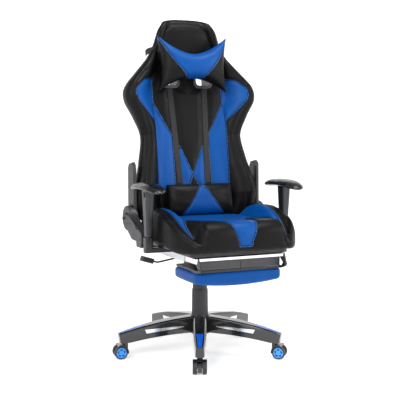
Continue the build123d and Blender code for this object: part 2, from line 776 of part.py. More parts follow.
with BuildPart() as back_section:
    # side view of the centre: flat to the neck, more upright above, round below
    with BuildSketch(Plane.YZ):
        with BuildLine():
            Polyline(
                (back_front_offset, 0),
                (back_front_offset, neck_z - 60),
                (back_front_offset - head_forward * 0.5, neck_z),
                (back_front_offset - head_forward * 1.8, neck_z + 70),
                (back_front_offset - head_forward * 4.0, shell_top - 40),
                (back_front_offset - head_forward * 4.2, shell_top + 8),
                (back_rear - head_forward * 6.8, shell_top + 8),
                (back_rear - head_forward * 3.0, neck_z + 70),
                (back_rear - head_forward, neck_z),
                (back_rear, neck_z - 60),
                (back_rear, 0),
                close=True,
            )
        make_face()
        with BuildLine():
            Line((back_front_offset, 0), (back_rear, 0))
            Line((back_rear, 0), (back_rear * 0.94, -back_rear * 0.32))
            ThreePointArc(
                (back_rear * 0.94, -back_rear * 0.32),
                (back_rear * 0.5, -back_rear * 0.85),
                (back_front_offset, -back_rear * 0.97),
            )
            Line((back_front_offset, -back_rear * 0.97), (back_front_offset, 0))
        make_face()
    extrude(amount=2 * wing_inner, both=True)

with BuildPart() as back_cushion:
    add(back_shell.part)
    add(back_section.part, mode=Mode.INTERSECT)
    with BuildSketch(Plane.XZ.offset(-back_rear)):
        with BuildLine():
            Polyline(
                (wing_inner, -back_rear),
                (wing_inner, hole_low - 60),
                (wing_inner + 14, neck_z),
                (wing_inner + 14, shell_top + 10),
                (-wing_inner - 14, shell_top + 10),
                (-wing_inner - 14, neck_z),
                (-wing_inner, hole_low - 60),
                (-wing_inner, -back_rear),
                close=True,
            )
        make_face()
    extrude(amount=back_thick + 2 * wing_forward, mode=Mode.INTERSECT)

with BuildPart() as back_wing:
    add(back_shell.part)
    with BuildSketch(Plane.XZ.offset(-back_rear)):
        with BuildLine():
            Polyline(
                (wing_inner, -back_rear),
                (wing_inner, hole_low - 60),
                (wing_inner + 14, neck_z),
                (wing_inner + 14, shell_top + 10),
                (2 * wing_inner, shell_top + 10),
                (2 * wing_inner, -back_rear),
                close=True,
            )
        make_face()
    extrude(amount=back_thick + 2 * wing_forward, mode=Mode.INTERSECT)
    # the wing's front face stands forward towards its outer edge
    with BuildSketch(Plane.XY):
        with BuildLine():
            Polyline(
                (wing_inner - 1, back_front_offset),
                (wing_inner + 40, back_front_offset - wing_forward * 0.7),
                (wing_inner + 78, back_front_offset - wing_forward),
                (wing_inner + 112, back_front_offset - wing_forward),
                (2 * wing_inner, back_front_offset - wing_forward * 0.7),
                (2 * wing_inner, back_front_offset - wing_forward * 0.5),
                (wing_inner + 104, back_front_offset),
                (wing_inner + 66, back_rear - 28),
                (wing_inner - 1, back_rear),
                close=True,
            )
        make_face()
    extrude(amount=2 * shell_top, both=True, mode=Mode.INTERSECT)
    with BuildSketch(Plane.YZ):
        with BuildLine():
            Polyline(
                (back_front_offset, -30),
                (back_front_offset - wing_forward * 0.4, 40),
                (back_front_offset - wing_forward, 120),
                (back_front_offset - wing_forward, hole_low),
                (back_front_offset - wing_forward * 0.7, neck_z + 20),
                (back_front_offset - head_forward * 4.2, shell_top + 10),
                (back_rear - head_forward * 6.8, shell_top + 10),
                (back_rear - head_forward * 3.0, neck_z + 70),
                (back_rear - head_forward, neck_z),
                (back_rear, neck_z - 60),
                (back_rear, 0),
                (back_rear * 0.9, -back_rear * 0.4),
                (back_rear * 0.4, -back_rear * 0.82),
                (back_front_offset, -back_rear * 0.9),
                close=True,
            )
        make_face()
    extrude(amount=2 * wing_inner, mode=Mode.INTERSECT)
back_wing_other = mirror(back_wing.part, about=Plane.YZ)

frame_tube_deep = 16.0
cross_tube = 20.0
frame_x, frame_top = 128.0, 590.0
frame_mid_depth = (back_front_offset + back_rear) / 2 + 4
with BuildPart() as back_frame:
    # square-tube loop inside the foam, standing on a cross tube that lies on the recline axis
    with BuildSketch(Plane.XZ.offset(-frame_mid_depth)):
        with Locations((0, frame_top / 2)):
            Rectangle(2 * frame_x + frame_tube_deep, frame_top + frame_tube_deep)
            Rectangle(2 * frame_x - frame_tube_deep, frame_top - frame_tube_deep, mode=Mode.SUBTRACT)
    extrude(amount=frame_tube_deep / 2, both=True)
    with Locations((frame_x, 0, 0), (-frame_x, 0, 0)):
        Box(
            frame_tube_deep,
            frame_mid_depth + frame_tube_deep / 2,
            frame_tube_deep,
            align=(Align.CENTER, Align.MIN, Align.CENTER),
        )
    Box(2 * recliner_x, cross_tube, cross_tube)

with BuildPart() as back_core:
    add(back_cushion.part)
    add(back_frame.part, mode=Mode.SUBTRACT)
with BuildPart() as wing_core:
    add(back_wing.part)
    Box(4 * recliner_x, cross_tube, cross_tube, mode=Mode.SUBTRACT)
wing_core_other = mirror(wing_core.part, about=Plane.YZ)
save(lean * back_core.part, "back_cushion")
save(Compound([lean * wing_core.part, lean * wing_core_other]), "back_wings")
save(lean * back_frame.part, "back_frame")

with BuildPart() as bezel:
    # a flanged ring lines each strap hole, front and back
    with BuildSketch(Plane.XZ.offset(-back_rear - bezel_proud)):
        with Locations(((hole_inner + hole_outer) / 2, (hole_low + hole_high) / 2)):
            RectangleRounded(hole_outer - hole_inner, hole_high - hole_low, 18)
            RectangleRounded(hole_outer - hole_inner - 10, hole_high - hole_low - 10, 14, mode=Mode.SUBTRACT)
    extrude(amount=back_thick + 2 * bezel_proud)
    for flange_y in (-back_front_offset, -back_rear - bezel_proud):
        with BuildSketch(Plane.XZ.offset(flange_y)):
            with Locations(((hole_inner + hole_outer) / 2, (hole_low + hole_high) / 2)):
                RectangleRounded(hole_outer - hole_inner + bezel_wide, hole_high - hole_low + bezel_wide, 22)
                RectangleRounded(hole_outer - hole_inner - 10, hole_high - hole_low - 10, 14, mode=Mode.SUBTRACT)
        extrude(amount=bezel_proud)
    add(back_cushion.part, mode=Mode.SUBTRACT)
bezel_other = mirror(bezel.part, about=Plane.YZ)
save(Compound([lean * bezel.part, lean * bezel_other]), "strap_hole_bezels")

# ================================================================ cushions and straps on the back
pillow_mid = 586.0           # along the back, from the pivot
pillow_half_deep = 50.0
pillow_edge = 9.0
pillow_rear = back_front_offset - head_forward * 1.6
pillow_lean = 8.0            # the pillow follows the head, more upright than the back
strap_wide, strap_thick = 22.0, 2.0
strap_top_x, strap_low_x = 74.0, 58.0
band_z, band_wide = 640.0, 22.0

with BuildPart() as pillow_blank:
    # bow-tie outline, thick in the middle and thin along its top and bottom edges
    with BuildSketch(Plane.XZ):
        with BuildLine():
            Polyline((-147, 104), (0, 38), (147, 104))
            Polyline((147, 104), (133, 0), (142, -106))
            Polyline((142, -106), (0, -56), (-142, -106))
            Polyline((-142, -106), (-133, 0), (-147, 104))
        make_face()
    extrude(amount=pillow_half_deep, both=True)
    with BuildSketch(Plane.YZ):
        with BuildLine():
            Polyline(
                (pillow_edge, 110),
                (-pillow_edge, 110),
                (-pillow_half_deep * 0.8, 46),
                (-pillow_half_deep, 0),
                (-pillow_half_deep * 0.8, -48),
                (-pillow_edge, -112),
                (pillow_edge, -112),
                (pillow_half_deep * 0.8, -48),
                (pillow_half_deep, 0),
                (pillow_half_deep * 0.8, 46),
                close=True,
            )
        make_face()
    extrude(amount=2 * wing_inner, both=True, mode=Mode.INTERSECT)
    # thinner towards both ends
    with BuildSketch(Plane.XY):
        with BuildLine():
            Polyline(
                (150, -pillow_half_deep * 0.3),
                (80, -pillow_half_deep - 2),
                (-80, -pillow_half_deep - 2),
                (-150, -pillow_half_deep * 0.3),
                (-150, pillow_half_deep * 0.3),
                (-80, pillow_half_deep + 2),
                (80, pillow_half_deep + 2),
                (150, pillow_half_deep * 0.3),
                close=True,
            )
        make_face()
    extrude(amount=2 * wing_inner, both=True, mode=Mode.INTERSECT)
pillow_place = Pos(0, pillow_rear - pillow_half_deep, pillow_mid) * Rot(pillow_lean, 0, 0)

with BuildPart() as headrest_pillow:
    add(pillow_place * pillow_blank.part)
    add(back_section.part, mode=Mode.SUBTRACT)
    add(back_wing.part, mode=Mode.SUBTRACT)
    add(back_wing_other, mode=Mode.SUBTRACT)
pillow_keep = headrest_pillow.solids().sort_by(SortBy.VOLUME)[-1]
save(lean * pillow_keep, "headrest_pillow")

lumbar_low, lumbar_high = 9.0, 125.0
lumbar_half, lumbar_thick = 134.0, 88.0
with BuildPart() as lumbar_cushion:
    with BuildSketch(Plane.YZ):
        with BuildLine():
            Line((back_front_offset, lumbar_low), (back_front_offset, lumbar_high))
            ThreePointArc(
                (back_front_offset, lumbar_high),
                (back_front_offset - lumbar_thick, (lumbar_low + lumbar_high) / 2),
                (back_front_offset, lumbar_low),
            )
        make_face()
    extrude(amount=lumbar_half, both=True)
save(lean * lumbar_cushion.part, "lumbar_cushion")


strap_run = hole_low - lumbar_high
with BuildPart() as back_straps:
    # from each strap hole down the front of the back to the lumbar cushion
    for side in (1, -1):
        with BuildSketch(Plane.XZ.offset(-back_front_offset)):
            with BuildLine():
                Polyline(
                    (side * strap_low_x - strap_wide / 2, lumbar_high - 4),
                    (side * strap_low_x + strap_wide / 2, lumbar_high - 4),
                    (side * strap_top_x + strap_wide / 2, hole_low - bezel_wide / 2),
                    (side * strap_top_x - strap_wide / 2, hole_low - bezel_wide / 2),
                    close=True,
                )
            make_face()
        extrude(amount=strap_thick)
    add(lumbar_cushion.part, mode=Mode.SUBTRACT)
    # elastic band round the back of the neck, which holds the headrest pillow
    with BuildSketch(Plane.XY.offset(band_z)):
        with BuildLine():
            Polyline(
                (118, -52), (148, -46), (158, -25), (158, 4), (122, 40),
                (-122, 40), (-158, 4), (-158, -25), (-148, -46), (-118, -52),
            )
            offset(amount=strap_thick / 2)
        make_face()
    extrude(amount=band_wide / 2, both=True)
    add(headrest_pillow.part, mode=Mode.SUBTRACT)
    add(back_wing.part, mode=Mode.SUBTRACT)
    add(back_wing_other, mode=Mode.SUBTRACT)
    add(back_cushion.part, mode=Mode.SUBTRACT)
save(lean * back_straps.part, "back_straps")

# ================================================================ recliner
leaned = Plane(origin=(0, pivot_y, pivot_z), x_dir=(0, 1, 0), z_dir=(1, 0, 0))

with BuildPart() as back_plate:
    with BuildSketch(Plane.YZ.offset(recliner_x)):
        Circle(recliner_disc_r)
        with BuildLine():
            Polyline(
                (-26, 0),
                (26, 0),
                (back_cover_shift + back_cover_wide / 2 - 10, back_cover_top - 24),
                (back_cover_shift - back_cover_wide / 2 + 10, back_cover_top - 24),
                close=True,
            )
        make_face()
        Circle(recliner_pin_r + running_gap, mode=Mode.SUBTRACT)
    extrude(amount=plate_thick)
back_plate_other = mirror(back_plate.part, about=Plane.YZ)
save(Compound([lean * back_plate.part, lean * back_plate_other]), "recliner_back_plates")

with BuildPart() as back_cover:
    with BuildSketch(Plane.YZ.offset(recliner_x + plate_thick)):
        with BuildLine():
            Polyline(
                (-back_cover_wide / 2 - 4, 28),
                (back_cover_wide / 2, 28),
                (back_cover_shift + back_cover_wide / 2, back_cover_top - 14),
                (back_cover_shift + back_cover_wide / 2 - 12, back_cover_top),
                (back_cover_shift - back_cover_wide / 2 + 12, back_cover_top),
                (back_cover_shift - back_cover_wide / 2, back_cover_top - 14),
                close=True,
            )
        make_face()
        Circle(cover_disc_r + 1.5, mode=Mode.SUBTRACT)
    extrude(amount=back_cover_outer_x - recliner_x - plate_thick)
    outer = back_cover.faces().sort_by(Axis.X)[-1]
    fillet(outer.edges(), 4)
back_cover_other = mirror(back_cover.part, about=Plane.YZ)
save(Compound([lean * back_cover.part, lean * back_cover_other]), "recliner_back_covers")

seat_plate_x = recliner_x + plate_thick + hinge_gap
with BuildPart() as seat_plate:
    # upright plate with the recliner's pin, on a foot that reaches in to the seat frame
    with BuildSketch(Plane.YZ.offset(seat_plate_x)):
        with Locations((pivot_y, pivot_z)):
            Circle(recliner_disc_r)
        with BuildLine():
            Polyline(
                (pivot_y - recliner_disc_r, pivot_z),
                (pivot_y + recliner_disc_r * 0.6, pivot_z - recliner_disc_r * 0.6),
                (pivot_y - 30, frame_low + 30),
                (pivot_y - 36, frame_low),
                (pivot_y - 84, frame_low),
                (pivot_y - 84, frame_low + 40),
                close=True,
            )
        make_face()
    extrude(amount=plate_thick)
    with Locations((seat_plate_x, pivot_y - 60, frame_low)):
        Box(
            seat_plate_x - frame_half,
            2 * frame_tube,
            frame_high - frame_low,
            align=(Align.MAX, Align.CENTER, Align.MIN),
        )
    with Locations(Location((recliner_x + 0.5, pivot_y, pivot_z), (0, 90, 0))):
        Cylinder(recliner_pin_r, plate_thick + hinge_gap, align=(Align.CENTER, Align.CENTER, Align.MIN))
seat_plate_other = mirror(seat_plate.part, about=Plane.YZ)
save(Compound([seat_plate.part, seat_plate_other]), "recliner_seat_plates")

cover_x = seat_plate_x + plate_thick
with BuildPart() as seat_cover:
    # plastic shell over the recliner, from the disc forwards and down to the frame
    with BuildSketch(Plane.YZ.offset(cover_x)):
        with Locations((pivot_y, pivot_z)):
            Circle(cover_disc_r)
        with BuildLine():
            Polyline(
                (pivot_y - 20, pivot_z + 30),
                (pivot_y + 38, pivot_z - 20),
                (pivot_y - 8, 484),
                (pivot_y - 52, 457),
                (-114, 453),
                (-112, 488),
                (-40, 528),
                close=True,
            )
        make_face()
    extrude(amount=cover_outer_x - cover_x)
    outer = seat_cover.faces().sort_by(Axis.X)[-1]
    fillet(outer.edges(), 4)
    with Locations((cover_x, pivot_y, pivot_z)):
        with Locations(Location((0, 0, 0), (0, 90, 0))):
            Cylinder(cover_disc_r - 4, 14, align=(Align.CENTER, Align.CENTER, Align.MIN), mode=Mode.SUBTRACT)
lever_boss_r = 6.0
with BuildPart() as seat_cover_right:
    # the sitter's right cover has a hole for the lever's boss
    add(mirror(seat_cover.part, about=Plane.YZ))
    with Locations(Location((0, pivot_y, pivot_z), (0, -90, 0))):
        Cylinder(lever_boss_r + running_gap, 2 * cover_outer_x, mode=Mode.SUBTRACT)
seat_cover_other = seat_cover_right.part
save(Compound([seat_cover.part, seat_cover_other]), "recliner_seat_covers")

with BuildPart() as recline_lever:
    # hand lever on the sitter's right, outside the recliner's cover
    with BuildSketch(Plane.YZ.offset(cover_outer_x + hinge_gap)):
        with Locations((pivot_y, pivot_z)):
            Circle(20)
        with BuildLine():
            Polyline(
                (pivot_y, pivot_z + 18),
                (pivot_y - 60, pivot_z + 10),
                (pivot_y - 118, pivot_z - 16),
                (pivot_y - 126, pivot_z - 30),
                (pivot_y - 104, pivot_z - 32),
                (pivot_y - 60, pivot_z - 12),
                (pivot_y, pivot_z - 18),
                close=True,
            )
        make_face()
    extrude(amount=9)
    fillet(recline_lever.faces().sort_by(Axis.X)[-1].edges(), 2.5)
    with Locations(Location((cover_outer_x + hinge_gap, pivot_y, pivot_z), (0, -90, 0))):
        Cylinder(lever_boss_r, 14, align=(Align.CENTER, Align.CENTER, Align.MAX))
recline_lever_right = mirror(recline_lever.part, about=Plane.YZ)
save(recline_lever_right, "recline_lever")

# ================================================================ arms
with BuildPart() as arm_bracket:
    # steel elbow from the frame, a socket tube and the inner bar that the sleeve slides on
    with BuildSketch(Plane.XY.offset(socket_low)):
        with Locations((arm_x, arm_y)):
            RectangleRounded(socket_x, socket_y, 6)
    extrude(amount=socket_top - socket_low)
    with Locations((arm_x, arm_y, socket_low)):
        Box(
            arm_x - frame_half,
            socket_y,
            frame_high - frame_low,
            align=(Align.MAX, Align.CENTER, Align.MIN),
        )
    with BuildSketch(Plane.XY.offset(socket_top)):
        with Locations((arm_x, arm_y)):
            Rectangle(arm_bar_x, arm_bar_y)
    extrude(amount=arm_bar_top - socket_top)
arm_bracket_other = mirror(arm_bracket.part, about=Plane.YZ)
save(arm_bracket.part, "arm_bracket_left")
save(arm_bracket_other, "arm_bracket_right")

with BuildPart() as arm_sleeve:
    for z, sx, sy in (
        (socket_top + 3, sleeve_low_x, sleeve_low_y),
        (sleeve_top - 60, sleeve_top_x - 2, sleeve_top_y - 10),
        (sleeve_top, sleeve_top_x, sleeve_top_y),
    ):
        with BuildSketch(Plane.XY.offset(z)):
            with Locations((arm_x, arm_y)):
                RectangleRounded(sx, sy, 7)
    loft(ruled=True)
    with BuildSketch(Plane.XY.offset(socket_top)):
        with Locations((arm_x, arm_y)):
            Rectangle(arm_bar_x + 2 * sleeve_gap, arm_bar_y + 2 * sleeve_gap)
    extrude(amount=arm_bar_top + 8 - socket_top, mode=Mode.SUBTRACT)
    with Locations((arm_x + sleeve_top_x / 2, arm_y, button_z)):
        Box(16, 13, 19, mode=Mode.SUBTRACT)
arm_sleeve_other = mirror(arm_sleeve.part, about=Plane.YZ)
save(arm_sleeve.part, "arm_sleeve_left")
save(arm_sleeve_other, "arm_sleeve_right")

with BuildPart() as arm_button:
    with Locations((arm_x + sleeve_top_x / 2 + 3, arm_y, button_z)):
        Box(7, 12, 18, align=(Align.MAX, Align.CENTER, Align.CENTER))
    fillet(arm_button.faces().sort_by(Axis.X)[-1].edges(), 1.5)
arm_button_other = mirror(arm_button.part, about=Plane.YZ)
save(arm_button.part, "arm_button_left")
save(arm_button_other, "arm_button_right")

with BuildPart() as arm_pad:
    with BuildSketch(Plane.YZ):
        with BuildLine():
            top = ThreePointArc(
                (pad_y - pad_length / 2, pad_end_top - 6),
                (pad_y, pad_middle_top),
                (pad_y + pad_length / 2, pad_end_top),
            )
            low = ThreePointArc(
                (pad_y + pad_length / 2, pad_end_top - 12),
                (pad_y, sleeve_top),
                (pad_y - pad_length / 2, pad_end_top - 20),
            )
            Line(top @ 1, low @ 0)
            Line(low @ 1, top @ 0)
        make_face()
    extrude(amount=pad_wide, both=True)
    with BuildSketch(Plane.XY.offset(sleeve_top - 40)):
        with Locations((0, pad_y)):
            RectangleRounded(pad_wide, pad_length, pad_wide / 2 - 2)
    extrude(amount=100, mode=Mode.INTERSECT)
    fillet(arm_pad.faces().sort_by(Axis.Z)[-1].edges(), 7)
with BuildPart() as arm_pad_left:
    with Locations((arm_x, 0, 0)):
        add(arm_pad.part)
    with BuildSketch(Plane.XY.offset(sleeve_top - 20)):
        with Locations((arm_x, arm_y)):
            RectangleRounded(sleeve_top_x + 4, sleeve_top_y + 4, 8)
    extrude(amount=20, mode=Mode.SUBTRACT)
arm_pad_right = mirror(arm_pad_left.part, about=Plane.YZ)
save(arm_pad_left.part, "arm_pad_left")
save(arm_pad_right, "arm_pad_right")

# ================================================================ footrest
with BuildPart() as guide:
    # C channel under the frame's side tube, open to the inside
    with BuildSketch(Plane.XZ.offset(-guide_rear)):
        with Locations((guide_x, (guide_low + guide_high) / 2)):
            Rectangle(guide_wide, guide_high - guide_low)
            Rectangle(rail_wide + 1, rail_high + 1, mode=Mode.SUBTRACT)
        with Locations((guide_x - guide_wide / 2, (guide_low + guide_high) / 2)):
            Rectangle(guide_wide, rail_high / 2, mode=Mode.SUBTRACT)
    extrude(amount=guide_rear - guide_front)
    with Locations((guide_x, (guide_front + guide_rear) / 2, guide_high)):
        with GridLocations(0, (guide_rear - guide_front) * 0.7, 1, 2):
            Box(guide_wide, 20, frame_low - guide_high, align=(Align.CENTER, Align.CENTER, Align.MIN))
guide_other = mirror(guide.part, about=Plane.YZ)
save(Compound([guide.part, guide_other]), "footrest_guides")

rail_mid_z = (guide_low + guide_high) / 2
with BuildPart() as footrest_rails:
    for side in (1, -1):
        with Locations((side * guide_x, (rail_front + rail_rear) / 2, rail_mid_z)):
            Box(rail_wide, rail_rear - rail_front, rail_high)
    with Locations((0, rail_front, rail_mid_z + rail_high / 2)):
        Box(2 * guide_x + rail_wide, bar_deep, front_bar_high, align=(Align.CENTER, Align.MIN, Align.MAX))
save(footrest_rails.part, "footrest_rails")

with BuildPart() as footrest_tray:
    # thin panel between the rails, with two aprons that hang behind the front bar
    tray_half = guide_x - rail_wide / 2
    with Locations((0, rail_front + bar_deep, rail_mid_z + rail_high / 2 - 2)):
        Box(2 * (tray_half - ear_thick), 205, 2, align=(Align.CENTER, Align.MIN, Align.MIN))
    with Locations((0, apron_y, rail_mid_z + rail_high / 2 - 2)):
        Box(2 * 158, apron_thick, rail_mid_z + rail_high / 2 - 2 - apron_low, align=(Align.CENTER, Align.CENTER, Align.MAX))
    with Locations((0, apron_y, apron_low)):
        Box(6, 4 * apron_thick, rail_mid_z - rail_high / 2 - apron_low, align=(Align.CENTER, Align.CENTER, Align.MIN), mode=Mode.SUBTRACT)
    for side in (1, -1):
        # ears that carry the footrest's hinge
        with BuildSketch(Plane.YZ.offset(side * (guide_x - rail_wide / 2 - ear_thick))):
            with BuildLine():
                Polyline(
                    (rail_front + 26, rail_mid_z + rail_high / 2),
                    (rail_front - 2, rail_mid_z + rail_high / 2),
                    (footrest_axis_y - 8, footrest_axis_z),
                    (footrest_axis_y, footrest_axis_z - 8),
                    (footrest_axis_y + 8, footrest_axis_z - 2),
                    (rail_front + 26, rail_mid_z - rail_high / 2),
                    close=True,
                )
            make_face()
        extrude(amount=side * ear_thick)
    with Locations(Location((0, footrest_axis_y, footrest_axis_z), (0, 90, 0))):
        Cylinder(footrest_pin_r + running_gap, 4 * guide_x, mode=Mode.SUBTRACT)
    add(footrest_rails.part, mode=Mode.SUBTRACT)
save(footrest_tray.part, "footrest_tray")

arm_inner_x = guide_x - rail_wide / 2 - ear_thick - 0.6
with BuildPart() as footrest_board:
    # board under the cushion, and two arms that reach forwards to the hinge pins
    with Locations((0, board_front, board_low)):
        Box(2 * board_half, board_rear - board_front, board_high - board_low, align=(Align.CENTER, Align.MIN, Align.MIN))
    for side in (1, -1):
        with BuildSketch(Plane.YZ.offset(side * (arm_inner_x - ear_thick))):
            with BuildLine():
                Polyline(
                    (board_front + 40, board_high),
                    (board_front - 8, board_high + 2),
                    (footrest_axis_y + 6, footrest_axis_z + 7),
                    (footrest_axis_y - 6, footrest_axis_z + 6),
                    (footrest_axis_y - 8, footrest_axis_z - 4),
                    (footrest_axis_y, footrest_axis_z - 9),
                    (board_front, board_low),
                    (board_front + 40, board_low),
                    close=True,
                )
            make_face()
        extrude(amount=side * ear_thick)
        with Locations(Location((side * (arm_inner_x - ear_thick), footrest_axis_y, footrest_axis_z), (0, side * 90, 0))):
            Cylinder(footrest_pin_r, 2 * ear_thick + 4, align=(Align.CENTER, Align.CENTER, Align.MIN))
save(footrest_board.part, "footrest_board")

with BuildPart() as footrest_pad:
    with BuildSketch(Plane.XZ.offset(-cushion_rear)):
        with BuildLine():
            Line((-cushion_half, board_low), (cushion_half, board_low))
            Line((cushion_half, board_low), (cushion_half, cushion_low + 12))
            ThreePointArc(
                (cushion_half, cushion_low + 12),
                (0, cushion_low),
                (-cushion_half, cushion_low + 12),
            )
            Line((-cushion_half, cushion_low + 12), (-cushion_half, board_low))
        make_face()
    extrude(amount=cushion_rear - cushion_front)
    fillet(footrest_pad.edges().filter_by(Axis.Z), 8)
save(footrest_pad.part, "footrest_pad")
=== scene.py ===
"""Gaming chair: finishes and soft pieces over the CAD frame. Metres, +Z up, the sitter faces -Y."""
import math

import bmesh
import bpy
import numpy as np
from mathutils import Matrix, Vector


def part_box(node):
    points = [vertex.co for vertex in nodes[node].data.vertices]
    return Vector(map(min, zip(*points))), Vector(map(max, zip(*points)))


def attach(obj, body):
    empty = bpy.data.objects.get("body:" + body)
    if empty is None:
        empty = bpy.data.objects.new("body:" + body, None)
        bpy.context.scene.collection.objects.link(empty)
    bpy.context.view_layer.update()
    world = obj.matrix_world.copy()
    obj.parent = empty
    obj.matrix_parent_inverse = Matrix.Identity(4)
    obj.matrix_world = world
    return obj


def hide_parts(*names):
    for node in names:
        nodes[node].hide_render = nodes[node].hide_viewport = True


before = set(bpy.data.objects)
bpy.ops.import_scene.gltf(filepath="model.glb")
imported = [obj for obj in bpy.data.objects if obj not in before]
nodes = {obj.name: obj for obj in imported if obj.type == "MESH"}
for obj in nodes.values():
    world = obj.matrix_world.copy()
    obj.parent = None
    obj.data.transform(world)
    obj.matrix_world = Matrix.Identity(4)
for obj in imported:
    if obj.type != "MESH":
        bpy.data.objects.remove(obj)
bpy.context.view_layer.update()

# ---------------------------------------------------------------- camera
# A long lens a little above seat height, to the front and to the sitter's right.
camera_data = bpy.data.cameras.new("camera")
camera_data.lens = 79.4
camera_data.sensor_width = 36.0
camera = bpy.data.objects.new("camera", camera_data)
bpy.context.scene.collection.objects.link(camera)
camera.location = (-1.412, -3.075, 0.877)
camera.rotation_euler = (math.radians(90 - 4.79), 0, math.radians(-24.67))
bpy.context.scene.camera = camera


# ---------------------------------------------------------------- five-star base
# Glass-filled nylon (PA6), injection moulded in a polished tool: near black, with a high gloss
# that softens where the tool's texture begins and shows faint flow marks.
def linear(code):
    """sRGB hex to linear RGBA."""
    out = []
    for k in (1, 3, 5):
        c = int(code[k : k + 2], 16) / 255
        out.append(c / 12.92 if c <= 0.04045 else ((c + 0.055) / 1.055) ** 2.4)
    return (*out, 1.0)


def node(tree, kind, values=None, **settings):
    """Adds a shader node, sets its properties, and fills its sockets: a tuple (node, output) makes a link."""
    made = tree.nodes.new(kind)
    for key, value in settings.items():
        setattr(made, key, value)
    for key, value in (values or {}).items():
        if isinstance(value, tuple) and len(value) == 2 and hasattr(value[0], "outputs"):
            tree.links.new(value[0].outputs[value[1]], made.inputs[key])
        else:
            made.inputs[key].default_value = value
    return made


def start_material(name):
    """An empty material with its shader and output, and Object coordinates in metres."""
    material = bpy.data.materials.new(name)
    material.use_nodes = True
    tree = material.node_tree
    tree.nodes.clear()
    shader = node(tree, "ShaderNodeBsdfPrincipled")
    node(tree, "ShaderNodeOutputMaterial", {"Surface": (shader, "BSDF")})
    place = node(tree, "ShaderNodeTexCoord")
    return material, tree, shader, place


def dress(names, material):
    """Gives CAD nodes their material."""
    for name in names:
        mesh = nodes[name].data
        mesh.materials.clear()
        mesh.materials.append(material)


def moulded(name, dark, light, rough_low, rough_high, grain_mm, grain_depth, coat=0.0):
    """A moulded or painted surface: cloudy colour, uneven gloss and a fine grain of a real size."""
    material, tree, shader, place = start_material(name)
    cloud = node(tree, "ShaderNodeTexNoise", {"Vector": (place, "Object"), "Scale": 1 / 0.05, "Detail": 4.0})
    colour = node(tree, "ShaderNodeValToRGB", {"Fac": (cloud, "Fac")})
    colour.color_ramp.elements[0].position, colour.color_ramp.elements[1].position = 0.35, 0.68
    colour.color_ramp.elements[0].color, colour.color_ramp.elements[1].color = linear(dark), linear(light)
    gloss = node(
        tree,
        "ShaderNodeMapRange",
        {"Value": (cloud, "Fac"), "From Min": 0.3, "From Max": 0.7, "To Min": rough_low, "To Max": rough_high},
    )
    grain = node(tree, "ShaderNodeTexNoise", {"Vector": (place, "Object"), "Scale": 1000 / grain_mm, "Detail": 2.0})
    bump = node(tree, "ShaderNodeBump", {"Height": (grain, "Fac"), "Strength": 1.0, "Distance": grain_depth / 1000})
    tree.links.new(colour.outputs["Color"], shader.inputs["Base Color"])
    tree.links.new(gloss.outputs["Result"], shader.inputs["Roughness"])
    tree.links.new(bump.outputs["Normal"], shader.inputs["Normal"])
    shader.inputs["Coat Weight"].default_value = coat
    shader.inputs["Coat Roughness"].default_value = 0.08
    return material


gloss_nylon = moulded("glass_filled_nylon_polished", "#08080a", "#101012", 0.14, 0.24, 6.0, 0.02, coat=0.5)
dress(["base_star"], gloss_nylon)

# Inlays on the leg ends: moulded blue ABS, pressed in, glossy.
blue_abs = moulded("abs_blue_gloss", "#0d55c4", "#1262d8", 0.16, 0.26, 4.0, 0.01, coat=0.4)
dress(["leg_inlays"], blue_abs)

# Strips along the legs: bright vacuum-metallised ABS.
chrome_abs, tree, shader, place = start_material("metallised_abs_bright")
smear = node(tree, "ShaderNodeTexNoise", {"Vector": (place, "Object"), "Scale": 60.0, "Detail": 3.0})
dull = node(tree, "ShaderNodeMapRange", {"Value": (smear, "Fac"), "To Min": 0.12, "To Max": 0.3})
tree.links.new(dull.outputs["Result"], shader.inputs["Roughness"])
shader.inputs["Metallic"].default_value = 1.0
shader.inputs["Base Color"].default_value = linear("#d9dadc")
dress(["leg_trim_strips"], chrome_abs)

# ---------------------------------------------------------------- casters
# Twin wheels with a polyurethane tread, glossy nylon hoods and bright blue pressed-in caps.
tread = moulded("polyurethane_tread", "#101012", "#19191b", 0.38, 0.52, 1.2, 0.03)
cap_blue = moulded("abs_sky_blue_gloss", "#1d86e6", "#2a93ee", 0.2, 0.3, 3.0, 0.01, coat=0.4)
dress([f"caster_{k}_housing" for k in range(1, 6)], gloss_nylon)
dress([f"caster_{k}_wheels" for k in range(1, 6)], tread)
dress([f"caster_{k}_hub_caps" for k in range(1, 6)], cap_blue)

# ---------------------------------------------------------------- gas lift and mechanism
# Telescopic polypropylene covers, moulded matt; the housing and plates are pressed steel in black
# powder coat, whose orange peel is about 1.5 mm across.
cover_plastic = moulded("polypropylene_matt", "#141416", "#1d1d20", 0.42, 0.55, 0.9, 0.03)
powder = moulded("powder_coat_black", "#0e0e10", "#161618", 0.32, 0.45, 1.5, 0.04)
dress(["lift_cover_lower", "lift_cover_middle", "lift_cover_upper", "tension_knob"], cover_plastic)
dress(
    [
        "lift_stand_tube", "tilt_housing", "tilt_top_plate", "seat_frame", "recliner_seat_plates",
        "recliner_back_plates", "back_frame", "footrest_board", "height_lever", "arm_bracket_left", "arm_bracket_right",
    ],
    powder,
)


